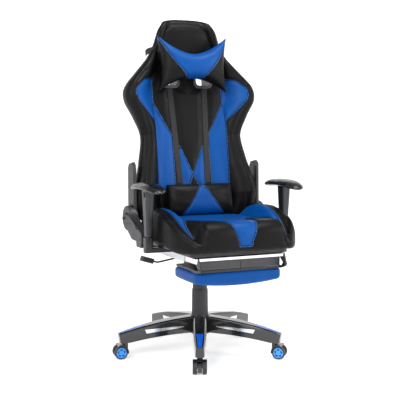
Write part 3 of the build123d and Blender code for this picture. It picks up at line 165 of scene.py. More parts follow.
# Zinc-plated and ground steel: brushed along its length.
def bright_steel(name, code, low, high, stretch):
    material, tree, shader, place = start_material(name)
    lay = node(tree, "ShaderNodeMapping", {"Vector": (place, "Object"), "Scale": stretch})
    scratch = node(tree, "ShaderNodeTexNoise", {"Vector": (lay, "Vector"), "Scale": 300.0, "Detail": 3.0})
    dull = node(tree, "ShaderNodeMapRange", {"Value": (scratch, "Fac"), "To Min": low, "To Max": high})
    bump = node(tree, "ShaderNodeBump", {"Height": (scratch, "Fac"), "Distance": 0.00002})
    tree.links.new(dull.outputs["Result"], shader.inputs["Roughness"])
    tree.links.new(bump.outputs["Normal"], shader.inputs["Normal"])
    shader.inputs["Metallic"].default_value = 1.0
    shader.inputs["Base Color"].default_value = linear(code)
    return material


zinc = bright_steel("steel_zinc_plated", "#b9bbbe", 0.28, 0.42, (1, 1, 1))
chromed = bright_steel("steel_chromed", "#e4e5e7", 0.06, 0.16, (1, 0.05, 1))
aluminium = bright_steel("aluminium_extruded_silver", "#d3d5d8", 0.3, 0.45, (1, 0.04, 1))
dress(
    ["lift_piston_rod", "lift_pressure_tube", "lift_release_button", "caster_stems", "tilt_pivot_pin", "seat_bolts"],
    zinc,
)
dress(["footrest_rails"], chromed)
dress(["footrest_guides"], aluminium)

# ---------------------------------------------------------------- recliner covers, arms, tray
# Polypropylene with a spark-eroded grain of about 1 mm, dark grey; the arms' sleeves and
# buttons are satin nylon, and the tray is sheet polypropylene.
grained = moulded("polypropylene_grained_grey", "#1b1b1e", "#27272b", 0.4, 0.52, 1.0, 0.06)
satin_nylon = moulded("nylon_satin", "#1a1b20", "#24252b", 0.3, 0.4, 1.2, 0.02)
tray_plastic = moulded("polypropylene_sheet", "#26262a", "#323237", 0.38, 0.5, 1.0, 0.03)
dress(["recliner_seat_covers", "recliner_back_covers", "recline_lever"], grained)
dress(["arm_sleeve_left", "arm_sleeve_right", "arm_button_left", "arm_button_right"], satin_nylon)
dress(["footrest_tray"], tray_plastic)
bezel_plastic = moulded("abs_satin_grey", "#3b3c40", "#4a4b50", 0.3, 0.42, 1.0, 0.02)
dress(["strap_hole_bezels"], bezel_plastic)

# Webbing: 22 mm polyester tape, woven with ribs 1.5 mm apart, drawn at 3 mm so that they show; its colour bands are
# painted shade in the grooves between the ribs and painted light on their tops.
webbing, tree, shader, place = start_material("polyester_webbing")
ribs = node(
    tree,
    "ShaderNodeTexWave",
    {"Vector": (place, "Object"), "Scale": 1 / 0.003 / 6.283, "Distortion": 0.4},
    bands_direction="Z",
)
# painted shade and light: darker in the ribs' grooves, lighter on their crests, following the bump's height
rib_painted_shade = node(tree, "ShaderNodeValToRGB", {"Fac": (ribs, "Fac")})
rib_painted_shade.color_ramp.elements[0].color = linear("#0c0c0e")
rib_painted_shade.color_ramp.elements[1].color = linear("#1e1e21")
bump = node(tree, "ShaderNodeBump", {"Height": (ribs, "Fac"), "Distance": 0.0003})
tree.links.new(rib_painted_shade.outputs["Color"], shader.inputs["Base Color"])
tree.links.new(bump.outputs["Normal"], shader.inputs["Normal"])
shader.inputs["Roughness"].default_value = 0.8
dress(["back_straps"], webbing)

# ---------------------------------------------------------------- back upholstery
# Polyurethane-coated fabric over moulded foam: black with blue panels, sewn together with a
# groove at each seam, darkened in the colour with painted shade, and a row of light blue thread beside it. The grain's
# cells are drawn 1.8 mm wide.
# The attribute "panel" is the distance in mm to the nearest edge of a blue panel, above 0 inside
# it, and "seam" is the distance to the nearest seam.


def coated_fabric(name):
    material, tree, shader, place = start_material(name)
    panel = node(tree, "ShaderNodeAttribute", attribute_name="panel")
    seam = node(tree, "ShaderNodeAttribute", attribute_name="seam")
    inside = node(tree, "ShaderNodeMapRange", {"Value": (panel, "Fac"), "From Min": -0.6, "From Max": 0.6})
    cloud = node(tree, "ShaderNodeTexNoise", {"Vector": (place, "Object"), "Scale": 22.0, "Detail": 4.0})
    black = node(tree, "ShaderNodeValToRGB", {"Fac": (cloud, "Fac")})
    black.color_ramp.elements[0].color = linear("#060607")
    black.color_ramp.elements[1].color = linear("#0c0c0d")
    blue = node(tree, "ShaderNodeValToRGB", {"Fac": (cloud, "Fac")})
    blue.color_ramp.elements[0].color = linear("#00397a")
    blue.color_ramp.elements[1].color = linear("#004588")
    mix = node(
        tree, "ShaderNodeMixRGB", {"Fac": (inside, "Result"), "Color1": (black, "Color"), "Color2": (blue, "Color")}
    )
    # painted shade: the colour darkens towards each seam's groove, and thread runs 3 mm beside it in stitches 5 mm long
    seam_painted_shade = node(
        tree,
        "ShaderNodeMapRange",
        {"Value": (seam, "Fac"), "From Min": 0.4, "From Max": 1.8, "To Min": 0.35, "To Max": 1.0},
    )
    # multiplies the painted seam shade into the panel colour
    seam_shaded_colour = node(
        tree,
        "ShaderNodeMixRGB",
        {"Fac": 1.0, "Color1": (mix, "Color"), "Color2": (seam_painted_shade, "Result")},
        blend_type="MULTIPLY",
    )
    off = node(tree, "ShaderNodeMath", {0: (panel, "Fac"), 1: 3.0}, operation="ADD")
    near = node(tree, "ShaderNodeMath", {0: (off, "Value")}, operation="ABSOLUTE")
    row = node(
        tree,
        "ShaderNodeMapRange",
        {"Value": (near, "Value"), "From Min": 0.35, "From Max": 0.8, "To Min": 1.0, "To Max": 0.0},
    )
    along = node(
        tree,
        "ShaderNodeTexWave",
        {"Vector": (place, "Object"), "Scale": 1 / 0.005 / 6.283},
        bands_direction="DIAGONAL",
    )
    dash = node(
        tree,
        "ShaderNodeMapRange",
        {"Value": (along, "Fac"), "From Min": 0.0, "From Max": 0.5, "To Min": 0.3, "To Max": 0.75},
    )
    thread = node(tree, "ShaderNodeMath", {0: (row, "Result"), 1: (dash, "Result")}, operation="MULTIPLY")
    last = node(
        tree,
        "ShaderNodeMixRGB",
        {"Fac": (thread, "Value"), "Color1": (seam_shaded_colour, "Color"), "Color2": linear("#3f86d8")},
    )
    grain = node(
        tree, "ShaderNodeTexVoronoi", {"Vector": (place, "Object"), "Scale": 1 / 0.0018}, feature="DISTANCE_TO_EDGE"
    )
    wrinkle = node(
        tree,
        "ShaderNodeTexNoise",
        {"Vector": (place, "Object"), "Scale": 28.0, "Detail": 5.0, "Distortion": 0.6},
    )
    fine = node(tree, "ShaderNodeBump", {"Height": (grain, "Distance"), "Strength": 0.35, "Distance": 0.0004})
    wide = node(
        tree,
        "ShaderNodeBump",
        {"Height": (wrinkle, "Fac"), "Strength": 0.5, "Distance": 0.0022, "Normal": (fine, "Normal")},
    )
    gloss = node(
        tree,
        "ShaderNodeMapRange",
        {"Value": (wrinkle, "Fac"), "From Min": 0.3, "From Max": 0.7, "To Min": 0.36, "To Max": 0.48},
    )
    tree.links.new(last.outputs["Color"], shader.inputs["Base Color"])
    tree.links.new(gloss.outputs["Result"], shader.inputs["Roughness"])
    tree.links.new(wide.outputs["Normal"], shader.inputs["Normal"])
    shader.inputs["Specular IOR Level"].default_value = 0.13
    return material


upholstery = coated_fabric("polyurethane_coated_fabric")


def edge_distance(points, polygon):
    """Distance from 2D points to a polygon's edge, above 0 inside it."""
    polygon = np.asarray(polygon, float)
    best = np.full(len(points), 1e9)
    inside = np.zeros(len(points), bool)
    for a, b in zip(polygon, np.roll(polygon, -1, axis=0)):
        run = b - a
        if run @ run < 1e-9:
            continue
        t = np.clip(((points - a) @ run) / (run @ run), 0, 1)
        best = np.minimum(best, np.linalg.norm(points - a - t[:, None] * run, axis=1))
        crosses = (a[1] > points[:, 1]) != (b[1] > points[:, 1])
        with np.errstate(divide="ignore", invalid="ignore"):
            x = a[0] + (points[:, 1] - a[1]) / (b[1] - a[1] if b[1] != a[1] else 1e-9) * run[0]
        inside ^= crosses & (points[:, 0] < x)
    return np.where(inside, best, -best)


def line_distance(points, line):
    """Distance from 2D points to an open line."""
    line = np.asarray(line, float)
    best = np.full(len(points), 1e9)
    for a, b in zip(line[:-1], line[1:]):
        run = b - a
        t = np.clip(((points - a) @ run) / (run @ run), 0, 1)
        best = np.minimum(best, np.linalg.norm(points - a - t[:, None] * run, axis=1))
    return best


def rounded(line, count=160):
    """A smooth line through 2D points."""
    p = np.asarray(line, float)
    p = np.vstack([2 * p[0] - p[1], p, 2 * p[-1] - p[-2]])
    out = []
    per = max(2, count // (len(p) - 3))
    for k in range(1, len(p) - 2):
        for t in np.linspace(0, 1, per, endpoint=k == len(p) - 3):
            a, b, c, d = p[k - 1 : k + 3]
            square, cube = 2 * a - 5 * b + 4 * c - d, 3 * b - a - 3 * c + d
            out.append(0.5 * (2 * b + (c - a) * t + square * t**2 + cube * t**3))
    return np.array(out)


def skin(name, rings):
    """A closed surface through rings of equal length, with flat ends. rings is rows x count x 3, in metres."""
    rows, count = rings.shape[:2]
    index = np.arange(rows * count).reshape(rows, count)
    faces = np.stack([index[:-1], np.roll(index[:-1], -1, 1), np.roll(index[1:], -1, 1), index[1:]], -1).reshape(-1, 4)
    faces = faces.tolist() + [index[0][::-1].tolist(), index[-1].tolist()]
    mesh = bpy.data.meshes.new(name)
    mesh.from_pydata(rings.reshape(-1, 3).tolist(), [], faces)
    mesh.update()
    piece = bpy.data.objects.new(name, mesh)
    bpy.context.scene.collection.objects.link(piece)
    work = bmesh.new()
    work.from_mesh(mesh)
    bmesh.ops.recalc_face_normals(work, faces=work.faces)
    work.to_mesh(mesh)
    work.free()
    mesh.polygons.foreach_set("use_smooth", [True] * len(mesh.polygons))
    return piece


def mark(piece, name, values):
    """Stores one number per vertex."""
    piece.data.attributes.new(name, "FLOAT", "POINT").data.foreach_set("value", np.asarray(values, np.float32))


PIVOT = np.array([0, 42.0, 532.0])
LEAN = math.radians(10.5)


def leaned(x, y, v):
    """From the back's own upright frame, in mm, to the chair's frame, in metres."""
    return np.stack(
        [x, PIVOT[1] + y * math.cos(LEAN) + v * math.sin(LEAN), PIVOT[2] - y * math.sin(LEAN) + v * math.cos(LEAN)], -1
    ) / 1000


# half the width at each height, as (height, half width)
back_side = rounded(
    [
        (-60, 196), (-46, 205), (20, 242), (105, 247), (215, 223), (310, 209), (384, 236), (446, 268),
        (496, 264), (556, 214), (606, 168), (660, 138), (712, 120), (748, 100),
    ],
    900,
)
side_v, side_w = back_side[:, 0], back_side[:, 1]


def half_width(v):
    w = np.interp(v, side_v, side_w)
    top = np.clip((v - 744) / (767 - 744), 0, 1)
    return np.where(v > 744, np.interp(744, side_v, side_w) * np.sqrt(1 - top**2 * 0.995), w)


def front_of(v):
    return np.interp(v, [-60, 515, 560, 610, 650, 700, 740, 768], [-10, -10, -14, -20, -29, -42, -49, -50])


def rear_of(v):
    return np.interp(v, [-60, -40, 0, 515, 575, 645, 700, 768], [30, 50, 60, 60, 50, 31, 14, -8])


def wing_of(v):
    return np.interp(
        v,
        [-60, -20, 40, 80, 140, 215, 310, 380, 440, 508, 570, 640, 700, 768],
        [0, 4, 34, 50, 48, 34, 26, 46, 66, 64, 46, 22, 14, 8],
    )


def strap_x(v):
    return np.interp(v, [134, 500], [58, 74])


v_rows = np.concatenate([np.linspace(-56, 700, 236), np.linspace(703, 767, 36)])
around = 264
back_rings = []
for v in v_rows:
    w, f, r, g = float(half_width(v)), float(front_of(v)), float(rear_of(v)), float(wing_of(v))
    head = np.clip((v - 560) / 80, 0, 1)
    inner = (0.60 + 0.12 * head) * w
    depth = r - f
    half = [
        (0, f),
        (0.5 * inner, f),
        (inner * 0.92, f - 0.02 * g),
        (inner * 1.06, f - 0.25 * g),
        (0.5 * (inner * 1.06 + 0.86 * w), f - 0.72 * g),
        (0.87 * w, f - g),
        (0.955 * w, f - 0.93 * g),
        (0.993 * w, f - 0.68 * g + 0.04 * depth),
        (0.992 * w, f - 0.34 * g + 0.12 * depth),
        (0.95 * w, f - 0.05 * g + 0.3 * depth),
        (0.82 * w, f + 0.68 * depth),
        (0.62 * w, r - 0.1 * depth),
        (0.4 * w, r),
        (0, r),
    ]
    line = rounded(half, 330)
    step = np.concatenate([[0], np.cumsum(np.linalg.norm(np.diff(line, axis=0), axis=1))])
    t = np.linspace(0, step[-1], around // 2 + 1)
    hx, hy = np.interp(t, step, line[:, 0]), np.interp(t, step, line[:, 1])
    # the top closes over in a rounded edge
    fat = math.sqrt(max(0.0, 1 - max(0.0, (v - 712) / 56) ** 2.4)) if v > 712 else 1.0
    low = math.sqrt(max(0.0, 1 - max(0.0, (-v - 26) / 31) ** 2.2)) if v < -26 else 1.0
    mid = (f + r) / 2
    hy = mid + (hy - mid) * max(0.1, fat) * max(0.25, low)
    x = np.concatenate([hx, -hx[-2:0:-1]])
    y = np.concatenate([hy, hy[-2:0:-1]])
    back_rings.append(np.stack([x, y, np.full(len(x), v)], -1))
back_rings = np.array(back_rings)
flat = back_rings.reshape(-1, 3)
ax, vv = np.abs(flat[:, 0]), flat[:, 2]
ring_front = np.tile(np.arange(back_rings.shape[1]), len(v_rows))
count = back_rings.shape[1]
facing_front = (ring_front < count * 0.30) | (ring_front > count * 0.70)
plan = np.stack([ax, vv], -1)
side_panel = [(148, 100), (148, 438), (79, 310), (80, 100)]
small_panel = [(50, 268), (2, 160), (30, 100), (52, 100)]
wing_edge = rounded([(150, 532), (196, 516), (229, 484), (232, 458), (208, 424), (150, 368)], 60)
wing_panel = np.concatenate([[(150, 368), (150, 532)], wing_edge])
panel = np.maximum.reduce([edge_distance(plan, p) for p in (side_panel, small_panel, wing_panel)])
panel = np.where(facing_front, panel, -40.0)
seams = [
    np.abs(panel),
    line_distance(plan, [(148, -40), (148, 540), (132, 600), (106, 660), (84, 720), (60, 742), (0, 748)]),
    line_distance(plan, [(2, 160), (30, 100)]),
]
rim_seam = [(206, -10), (206, 110), (188, 215), (176, 310), (196, 390), (236, 452), (234, 500), (188, 556)]
seams.append(line_distance(plan, rounded(rim_seam, 120)))
seam = np.minimum.reduce(seams)
seam = np.where(facing_front, seam, np.minimum(60.0, np.abs(ax - 60 - 0.05 * vv)))
# padding: crowned between seams, pulled in at them, flat beside the straps and round the holes
crown = 5.0 * (1 - np.exp(-seam / 22.0)) - 3.4 * np.exp(-((seam / 3.2) ** 2))
strap_gap = np.abs(ax - strap_x(vv))
calm = np.clip((strap_gap - 12) / 20, 0, 1)
calm = np.where((vv < 130) | (vv > 505) | ~facing_front, 1.0, calm)
hole_gap = np.maximum(np.maximum(35 - ax, ax - 105), np.maximum(506 - vv, vv - 572))
calm = np.minimum(calm, np.clip((hole_gap - 6) / 26, 0, 1))
puff = np.where(calm < 1, crown * calm + np.minimum(crown, 0) * (1 - calm) * 0.3, crown)
end = np.clip((762 - vv) / 40, 0, 1) * np.clip((vv + 50) / 40, 0, 1)
rest = back_rings.copy()
tangent_u = np.roll(rest, -1, 1) - np.roll(rest, 1, 1)
tangent_v = np.gradient(rest, axis=0)
normal = np.cross(tangent_v, tangent_u)
normal /= np.linalg.norm(normal, axis=2)[..., None] + 1e-9
if (normal[120, 0] @ np.array([0, -1, 0])) < 0:
    normal = -normal
moved = rest + normal * (puff * end).reshape(rest.shape[:2])[..., None]
# the lower end stays inside a 63 mm radius round the recline axis, so that it turns clear of the seat
reach = np.hypot(moved[..., 1], moved[..., 2])
moved[..., 1:] *= np.where((moved[..., 2] < 0) & (reach > 63), 63 / np.maximum(reach, 1), 1)[..., None]
moved = leaned(moved[..., 0], moved[..., 1], moved[..., 2])
back_piece = skin("back_upholstery", moved)
mark(back_piece, "panel", panel)
mark(back_piece, "seam", seam)
back_piece.data.materials.append(upholstery)
# the two strap holes go right through
work = bmesh.new()
work.from_mesh(back_piece.data)
work.verts.ensure_lookup_table()
gone = [
    face for face in work.faces
    if len(face.verts) == 4
    and all(hole_gap[vert.index] < -1.0 for vert in face.verts)
]
bmesh.ops.delete(work, geom=gone, context="FACES")
work.to_mesh(back_piece.data)
work.free()
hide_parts("back_cushion", "back_wings")
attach(back_piece, "back")

# ---------------------------------------------------------------- seat upholstery
# The same coated fabric over cut foam: a crowned centre between two bolsters, with the blue
# panel narrowing to a stripe down the front.
seat_front_line = rounded(
    [(0, -387), (120, -388), (165, -387), (190, -376), (214, -348), (234, -312), (246, -276)], 200
)
seat_top_center = ([-400, -345, -300, -240, -150, -60, 62], [544, 545, 543, 538, 534, 534, 536])
bolster_crest = (
    [-400, -381, -359, -323, -279, -234, -190, -150, -100, -58, 10, 62],
    [444, 449, 471, 502, 528, 554, 570, 577, 577, 570, 553, 528],
)
seat_rows = []
seat_info = []
x_steps = np.concatenate([np.linspace(0, 226, 70), 226 + 24 * np.sin(np.linspace(0, math.pi / 2, 16)[1:])])
insets = np.concatenate([np.zeros(70), 24 * (1 - np.cos(np.linspace(0, math.pi / 2, 16)[1:]))])
for a, inset in zip(x_steps, insets):
    yf = float(np.interp(a, seat_front_line[:, 0], seat_front_line[:, 1])) + inset
    yr = 60.0 - inset * 0.6
    y = np.linspace(yr, yf + 44, 110)
    raise_by = np.clip((a - 150) / np.interp(y, [-330, -200], [22, 48]), 0, 1)
    raise_by = raise_by * raise_by * (3 - 2 * raise_by)
    top = np.interp(y, *seat_top_center) * (1 - raise_by) + np.interp(y, *bolster_crest) * raise_by - inset
    # behind, the seat is hollowed for the back's lower end
    hollow = 532 - np.sqrt(np.maximum(0, 67**2 - (y - 42) ** 2))
    top = np.where(np.abs(y - 42) < 67, np.minimum(top, hollow), top)
    z_edge = float(top[-1])
    radius_y, radius_z = 44.0, min(46.0, z_edge - 462 - 0.4 * inset)
    arc = np.linspace(0, math.pi / 2, 22)[1:]
    arc_y, arc_z = yf + 44 - radius_y * np.sin(arc), z_edge - radius_z * (1 - np.cos(arc))
    low = 444.0 + inset
    down_z = np.linspace(arc_z[-1], min(low + 14, arc_z[-1] - 1), 14)[1:]
    down_y = np.full(len(down_z), yf)
    turn = np.linspace(0, math.pi / 2, 8)[1:]
    turn_y, turn_z = yf + 14 * (1 - np.cos(turn)), down_z[-1] - (down_z[-1] - low) * np.sin(turn)
    under_y = np.linspace(yf + 14, yr, 60)[1:]
    under_z = np.full(len(under_y), low)
    up_z = np.linspace(low, top[0], 10)[1:-1]
    up_y = np.full(len(up_z), yr)
    ring_y = np.concatenate([y, arc_y, down_y, turn_y, under_y, up_y])
    ring_z = np.concatenate([top, arc_z, down_z, turn_z, under_z, up_z])
    run = np.concatenate([[0], np.cumsum(np.hypot(np.diff(ring_y), np.diff(ring_z)))]) - yr
    seat_rows.append(np.stack([np.full(len(ring_y), a), ring_y, ring_z], -1))
    seat_info.append(run)
right = np.array(seat_rows)
left = right[:0:-1].copy()
left[..., 0] *= -1
seat_rings = np.concatenate([left, right])
runs = np.concatenate([np.array(seat_info)[:0:-1], np.array(seat_info)])
count = seat_rings.shape[1]
upper = np.tile(np.arange(count) < 110 + 21 + 13 + 5, (len(seat_rings), 1))
flat = seat_rings.reshape(-1, 3)
plan = np.stack([np.abs(flat[:, 0]), runs.reshape(-1)], -1)
stripe = rounded(
    [
        (152, 205), (124, 207), (98, 222), (80, 256), (70, 300),
        (61, 345), (55, 380), (47, 410), (38, 440), (24, 475),
    ],
    120,
)
seat_blue = [(0, -70), (152, -70)] + [tuple(p) for p in stripe] + [(22, 490), (0, 490)]
bolster_blue = [
    (154, -70), (200, -70), (205, 60), (206, 150), (205, 215), (203, 280), (199, 340),
    (192, 390), (184, 425), (184, 380), (182, 330), (168, 270), (154, 215),
]
full_blue = edge_distance(plan, [(-p[0], p[1]) for p in seat_blue[::-1]] + seat_blue)
panel = np.maximum(full_blue, edge_distance(plan, bolster_blue))
top_mask = upper.reshape(-1)
panel = np.where(top_mask, panel, -40.0)
seams = [
    np.abs(panel),
    line_distance(plan, [(152, -70), (152, 480)]),
    line_distance(plan, [(206, -70), (206, 150), (205, 215), (203, 280), (198, 340), (190, 390), (176, 440)]),
    line_distance(plan, [(226, -70), (226, 215), (222, 280), (214, 340), (204, 390), (190, 440)]),
    line_distance(plan, [(0, 372), (152, 372)]) + 2.5,
]
seam = np.where(top_mask, np.minimum.reduce(seams), 30.0)
puff = 5.5 * (1 - np.exp(-seam / 26.0)) - 3.6 * np.exp(-((seam / 3.2) ** 2))
puff = np.where(top_mask, puff, 0.0)
rest = seat_rings
tangent_u = np.roll(rest, -1, 1) - np.roll(rest, 1, 1)
tangent_v = np.gradient(rest, axis=0)
normal = np.cross(tangent_u, tangent_v)
normal /= np.linalg.norm(normal, axis=2)[..., None] + 1e-9
if normal[len(rest) // 2, 60, 2] < 0:
    normal = -normal
edge_fade = np.clip((250 - np.abs(rest[..., 0])) / 10, 0, 1)
rear_fade = np.clip((-24 - rest[..., 1]) / 14, 0, 1)
moved = rest + normal * (puff.reshape(rest.shape[:2]) * edge_fade * rear_fade)[..., None]
seat_piece = skin("seat_upholstery", moved / 1000)
mark(seat_piece, "panel", panel)
mark(seat_piece, "seam", seam)
seat_piece.data.materials.append(upholstery)
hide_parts("seat_cushion", "seat_bolsters")
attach(seat_piece, "seat")


# ---------------------------------------------------------------- headrest pillow
# A bow-tie pillow: two coated fabric faces sewn round the rim over loose fibre, so its corners
# stay thin and point outwards while the middle swells.
def stuffed(name, top_edge, low_edge, side_in, half_deep, place, panel_shape, power=0.42):
    """A pillow of two faces joined at the rim.

    The outline is top_edge(u), low_edge(u) and half the width at each height, side_in(v).
    """
    nu, nv = 110, 76
    u = np.sin(np.linspace(-1, 1, nu) * math.pi / 2) * 0.35 + np.linspace(-1, 1, nu) * 0.65
    v = np.sin(np.linspace(-1, 1, nv) * math.pi / 2) * 0.35 + np.linspace(-1, 1, nv) * 0.65
    gu, gv = np.meshgrid(u, v)
    half = side_in(gv)
    x = gu * half
    z = low_edge(gu) + (top_edge(gu) - low_edge(gu)) * (gv + 1) / 2
    swell = ((1 - np.abs(gu) ** 2.6) * (1 - np.abs(gv) ** 2.6)) ** power
    pts = np.stack([x.ravel(), z.ravel()], -1)
    panel = edge_distance(pts, panel_shape)
    seam = np.abs(panel)
    dent = (3.5 * np.exp(-((seam / 3.4) ** 2))).reshape(x.shape)
    # creases run in from the corners and the drawn-in sides
    crease = 1.6 * np.sin(gv * 9.0 + gu * 5.0) * np.abs(gu) ** 3 * (1 - np.abs(gu)) * 6
    depth = half_deep * swell + crease * swell
    front = np.stack([x, -(depth - dent * (swell > 0.15)), z], -1)
    back = np.stack([x, depth * 0.92, z], -1)
    index_f = np.arange(nu * nv).reshape(nv, nu)
    index_b = index_f + nu * nv
    edge = np.zeros((nv, nu), bool)
    edge[0], edge[-1], edge[:, 0], edge[:, -1] = True, True, True, True
    index_b = np.where(edge, index_f, index_b)
    faces = []
    for grid, flip in ((index_f, False), (index_b, True)):
        quads = np.stack([grid[:-1, :-1], grid[:-1, 1:], grid[1:, 1:], grid[1:, :-1]], -1).reshape(-1, 4)
        faces += (quads[:, ::-1] if flip else quads).tolist()
    points = np.concatenate([front.reshape(-1, 3), back.reshape(-1, 3)])
    mesh = bpy.data.meshes.new(name)
    mesh.from_pydata((place(points)).tolist(), [], faces)
    piece = bpy.data.objects.new(name, mesh)
    bpy.context.scene.collection.objects.link(piece)
    mark(piece, "panel", np.concatenate([panel, np.full(len(panel), -40.0)]))
    mark(piece, "seam", np.concatenate([seam, np.full(len(panel), 30.0)]))
    work = bmesh.new()
    work.from_mesh(mesh)
    loose = [vert for vert in work.verts if not vert.link_faces]
    bmesh.ops.delete(work, geom=loose, context="VERTS")
    bmesh.ops.recalc_face_normals(work, faces=work.faces)
    work.to_mesh(mesh)
    work.free()
    mesh.polygons.foreach_set("use_smooth", [True] * len(mesh.polygons))
    mesh.materials.append(upholstery)
    return piece


def on_head(points):
    turn = math.radians(8)
    y = points[:, 1] * math.cos(turn) - points[:, 2] * math.sin(turn) - 22 - 56
    v = points[:, 1] * math.sin(turn) + points[:, 2] * math.cos(turn) + 580
    return leaned(points[:, 0], y, v)


pillow = stuffed(
    "headrest_pillow_soft",
    lambda u: 38 + 68 * np.abs(u) ** 1.8,
    lambda u: -56 - 52 * np.abs(u) ** 2.0,
    lambda v: 147 - 15 * (1 - v**2) - 3 * (1 - v) / 2,
    52.0,
    on_head,
    rounded([(-140, 92), (-96, 20), (-40, -44), (-14, -70)], 40).tolist()
    + rounded([(14, -70), (40, -44), (96, 20), (140, 92)], 40).tolist()
    + [(150, 130), (-150, 130)],
)
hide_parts("headrest_pillow")
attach(pillow, "back")


# ---------------------------------------------------------------- lumbar cushion
# A firm foam roll in the same cover, flat behind, held by the two straps.
def on_waist(points):
    y = -10 - 41 + points[:, 1]
    return leaned(points[:, 0], y, points[:, 2] + 55)


lumbar = stuffed(
    "lumbar_cushion_soft",
    lambda u: 60 + 0 * u,
    lambda u: -60 + 0 * u,
    lambda v: 134 + 0 * v,
    44.0,
    on_waist,
    [(0, 58), (-26, 20), (-60, -30), (-92, -66), (92, -66), (60, -30), (26, 20)],
    power=0.33,
)
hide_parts("lumbar_cushion")
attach(lumbar, "back")

# ---------------------------------------------------------------- arm pads
# Moulded polyurethane pads with a smooth skin: crowned across, drooping at both rounded ends.
skin_pu, tree, shader, place = start_material("moulded_polyurethane")
pores = node(tree, "ShaderNodeTexNoise", {"Vector": (place, "Object"), "Scale": 900.0, "Detail": 2.0})
smear = node(tree, "ShaderNodeTexNoise", {"Vector": (place, "Object"), "Scale": 30.0, "Detail": 3.0})
bump = node(tree, "ShaderNodeBump", {"Height": (pores, "Fac"), "Strength": 0.3, "Distance": 0.0002})
gloss = node(
    tree,
    "ShaderNodeMapRange",
    {"Value": (smear, "Fac"), "From Min": 0.3, "From Max": 0.7, "To Min": 0.2, "To Max": 0.32},
)
tree.links.new(bump.outputs["Normal"], shader.inputs["Normal"])
tree.links.new(gloss.outputs["Result"], shader.inputs["Roughness"])
shader.inputs["Base Color"].default_value = linear("#0b0b0d")
PAD_X, PAD_Y = 277, -156
PAD_HALF_LONG, PAD_HALF_WIDE, PAD_HALF_THICK = 123, 41, 13.5
PAD_MIDDLE_Z, PAD_DROOP = 663, 17
for side in (1, -1):
    hand = "left" if side > 0 else "right"
    rings = []
    for t in np.sin(np.linspace(-math.pi / 2, math.pi / 2, 60)):
        half_wide = PAD_HALF_WIDE * (1 - min(0.9999, abs(t)) ** 3.0) ** 0.5 * (1 - 0.10 * (t + 1) / 2)
        half_high = PAD_HALF_THICK * (1 - min(0.9999, abs(t)) ** 4.5) ** 0.5 + 0.05
        middle = PAD_MIDDLE_Z - PAD_DROOP * abs(t) ** 2.2 + (4 if t > 0 else 0) * t * t
        around = np.linspace(0, 2 * math.pi, 64, endpoint=False)
        c, s = np.cos(around), np.sin(around)
        x = side * PAD_X + (half_wide + 0.05) * np.sign(c) * np.abs(c) ** 0.8
        z = middle + half_high * np.sign(s) * np.abs(s) ** 0.9 - np.where(s > 0, 2.5 * np.abs(c) ** 3, 0)
        rings.append(np.stack([x, np.full(64, PAD_Y + PAD_HALF_LONG * t), z], -1))
    pad_skin = skin("arm_pad_skin_" + hand, np.array(rings) / 1000)
    pad_skin.data.materials.append(skin_pu)
    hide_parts("arm_pad_" + hand)
    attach(pad_skin, "arm_" + hand)

# ---------------------------------------------------------------- footrest pad
# Blue coated fabric stapled over foam on a board: flat on the board, bellied below.
low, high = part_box("footrest_pad")
cx, cy = (low[0] + high[0]) / 2, (low[1] + high[1]) / 2
hx, hy = (high[0] - low[0]) / 2, (high[1] - low[1]) / 2
bpy.ops.object.select_all(action="DESELECT")
bpy.ops.mesh.primitive_cube_add(size=1, location=(cx, cy, (low[2] + high[2]) / 2))
pad = bpy.context.object
pad.name = "footrest_pad_soft"
pad.scale = (2 * hx, 2 * hy, high[2] - low[2])
bpy.ops.object.transform_apply(location=True, rotation=True, scale=True)
bpy.ops.object.mode_set(mode="EDIT")
bpy.ops.mesh.select_all(action="SELECT")
bpy.ops.mesh.bevel(offset=0.014, segments=4, affect="EDGES")
bpy.ops.mesh.select_all(action="SELECT")
bpy.ops.mesh.subdivide(number_cuts=14)
bpy.ops.object.mode_set(mode="OBJECT")
for vert in pad.data.vertices:
    u, w = (vert.co.x - cx) / hx, (vert.co.y - cy) / hy
    depth = (high[2] - vert.co.z) / (high[2] - low[2])
    vert.co.z -= 0.010 * depth * (1 - u * u) * (1 - w * w) - 0.010 * depth * (u * u)
    vert.co.x -= 0.003 * math.copysign(1, u) * (1 - w * w) * (abs(u) > 0.9) * -1
    vert.co.y -= 0.003 * math.copysign(1, w) * (1 - u * u) * (abs(w) > 0.9) * -1
pad.data.polygons.foreach_set("use_smooth", [True] * len(pad.data.polygons))
levels = np.array([vert.co.z for vert in pad.data.vertices])
mark(pad, "panel", np.full(len(levels), 40.0))
mark(pad, "seam", np.full(len(levels), 40.0))
pad.data.materials.append(upholstery)
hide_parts("footrest_pad")
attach(pad, "footrest")

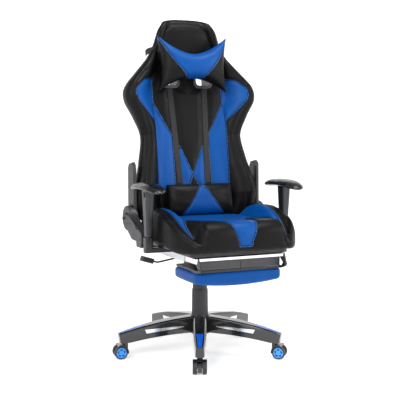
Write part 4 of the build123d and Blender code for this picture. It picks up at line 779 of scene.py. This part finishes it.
# ---------------------------------------------------------------- floor and light
# A pale floor 16 m across that curves up into a low wall all round, with a large soft light
# from the left and front, a fill and a top light.
bpy.ops.object.select_all(action="DESELECT")
sweep = [(0.02, 0.0), (2.0, 0.0), (5.0, 0.0)]
sweep += [(5.0 + 3.0 * math.sin(t), 3.0 - 3.0 * math.cos(t)) for t in np.linspace(0.08, math.pi / 2, 18)]
sweep += [(8.0, 6.0)]
turn = np.linspace(0, 2 * math.pi, 96, endpoint=False)
floor = skin("floor", np.array([[(r * math.cos(t), r * math.sin(t), z) for t in turn] for r, z in sweep]))
work = bmesh.new()
work.from_mesh(floor.data)
lid = [face for face in work.faces if min(vert.co.z for vert in face.verts) > 5.9]
bmesh.ops.delete(work, geom=lid, context="FACES")
bmesh.ops.reverse_faces(work, faces=work.faces)
work.to_mesh(floor.data)
work.free()
paper, tree, shader, place = start_material("paper_white")
shader.inputs["Base Color"].default_value = linear("#f6f6f6")
shader.inputs["Roughness"].default_value = 0.9
shader.inputs["Emission Color"].default_value = linear("#ffffff")
shader.inputs["Emission Strength"].default_value = 0.4
floor.data.materials.append(paper)

world = bpy.data.worlds.new("studio")
bpy.context.scene.world = world
world.use_nodes = True
world.node_tree.nodes["Background"].inputs["Color"].default_value = linear("#ffffff")
world.node_tree.nodes["Background"].inputs["Strength"].default_value = 0.4


def soft_light(name, at, aim, size, power):
    data = bpy.data.lights.new(name, "AREA")
    data.shape = "RECTANGLE"
    data.size, data.size_y = size
    data.energy = power
    light = bpy.data.objects.new(name, data)
    bpy.context.scene.collection.objects.link(light)
    light.location = at
    light.rotation_euler = (Vector(aim) - Vector(at)).to_track_quat("-Z", "Y").to_euler()


soft_light("key", (-2.6, -2.6, 2.6), (0, 0, 0.7), (1.2, 1.6), 75)
soft_light("fill", (2.8, -2.4, 1.6), (0, 0, 0.7), (0.9, 1.8), 45)
soft_light("top", (0.3, -0.9, 3.0), (0, 0, 0.6), (1.2, 1.2), 55)
bpy.context.scene.view_settings.view_transform = "Standard"
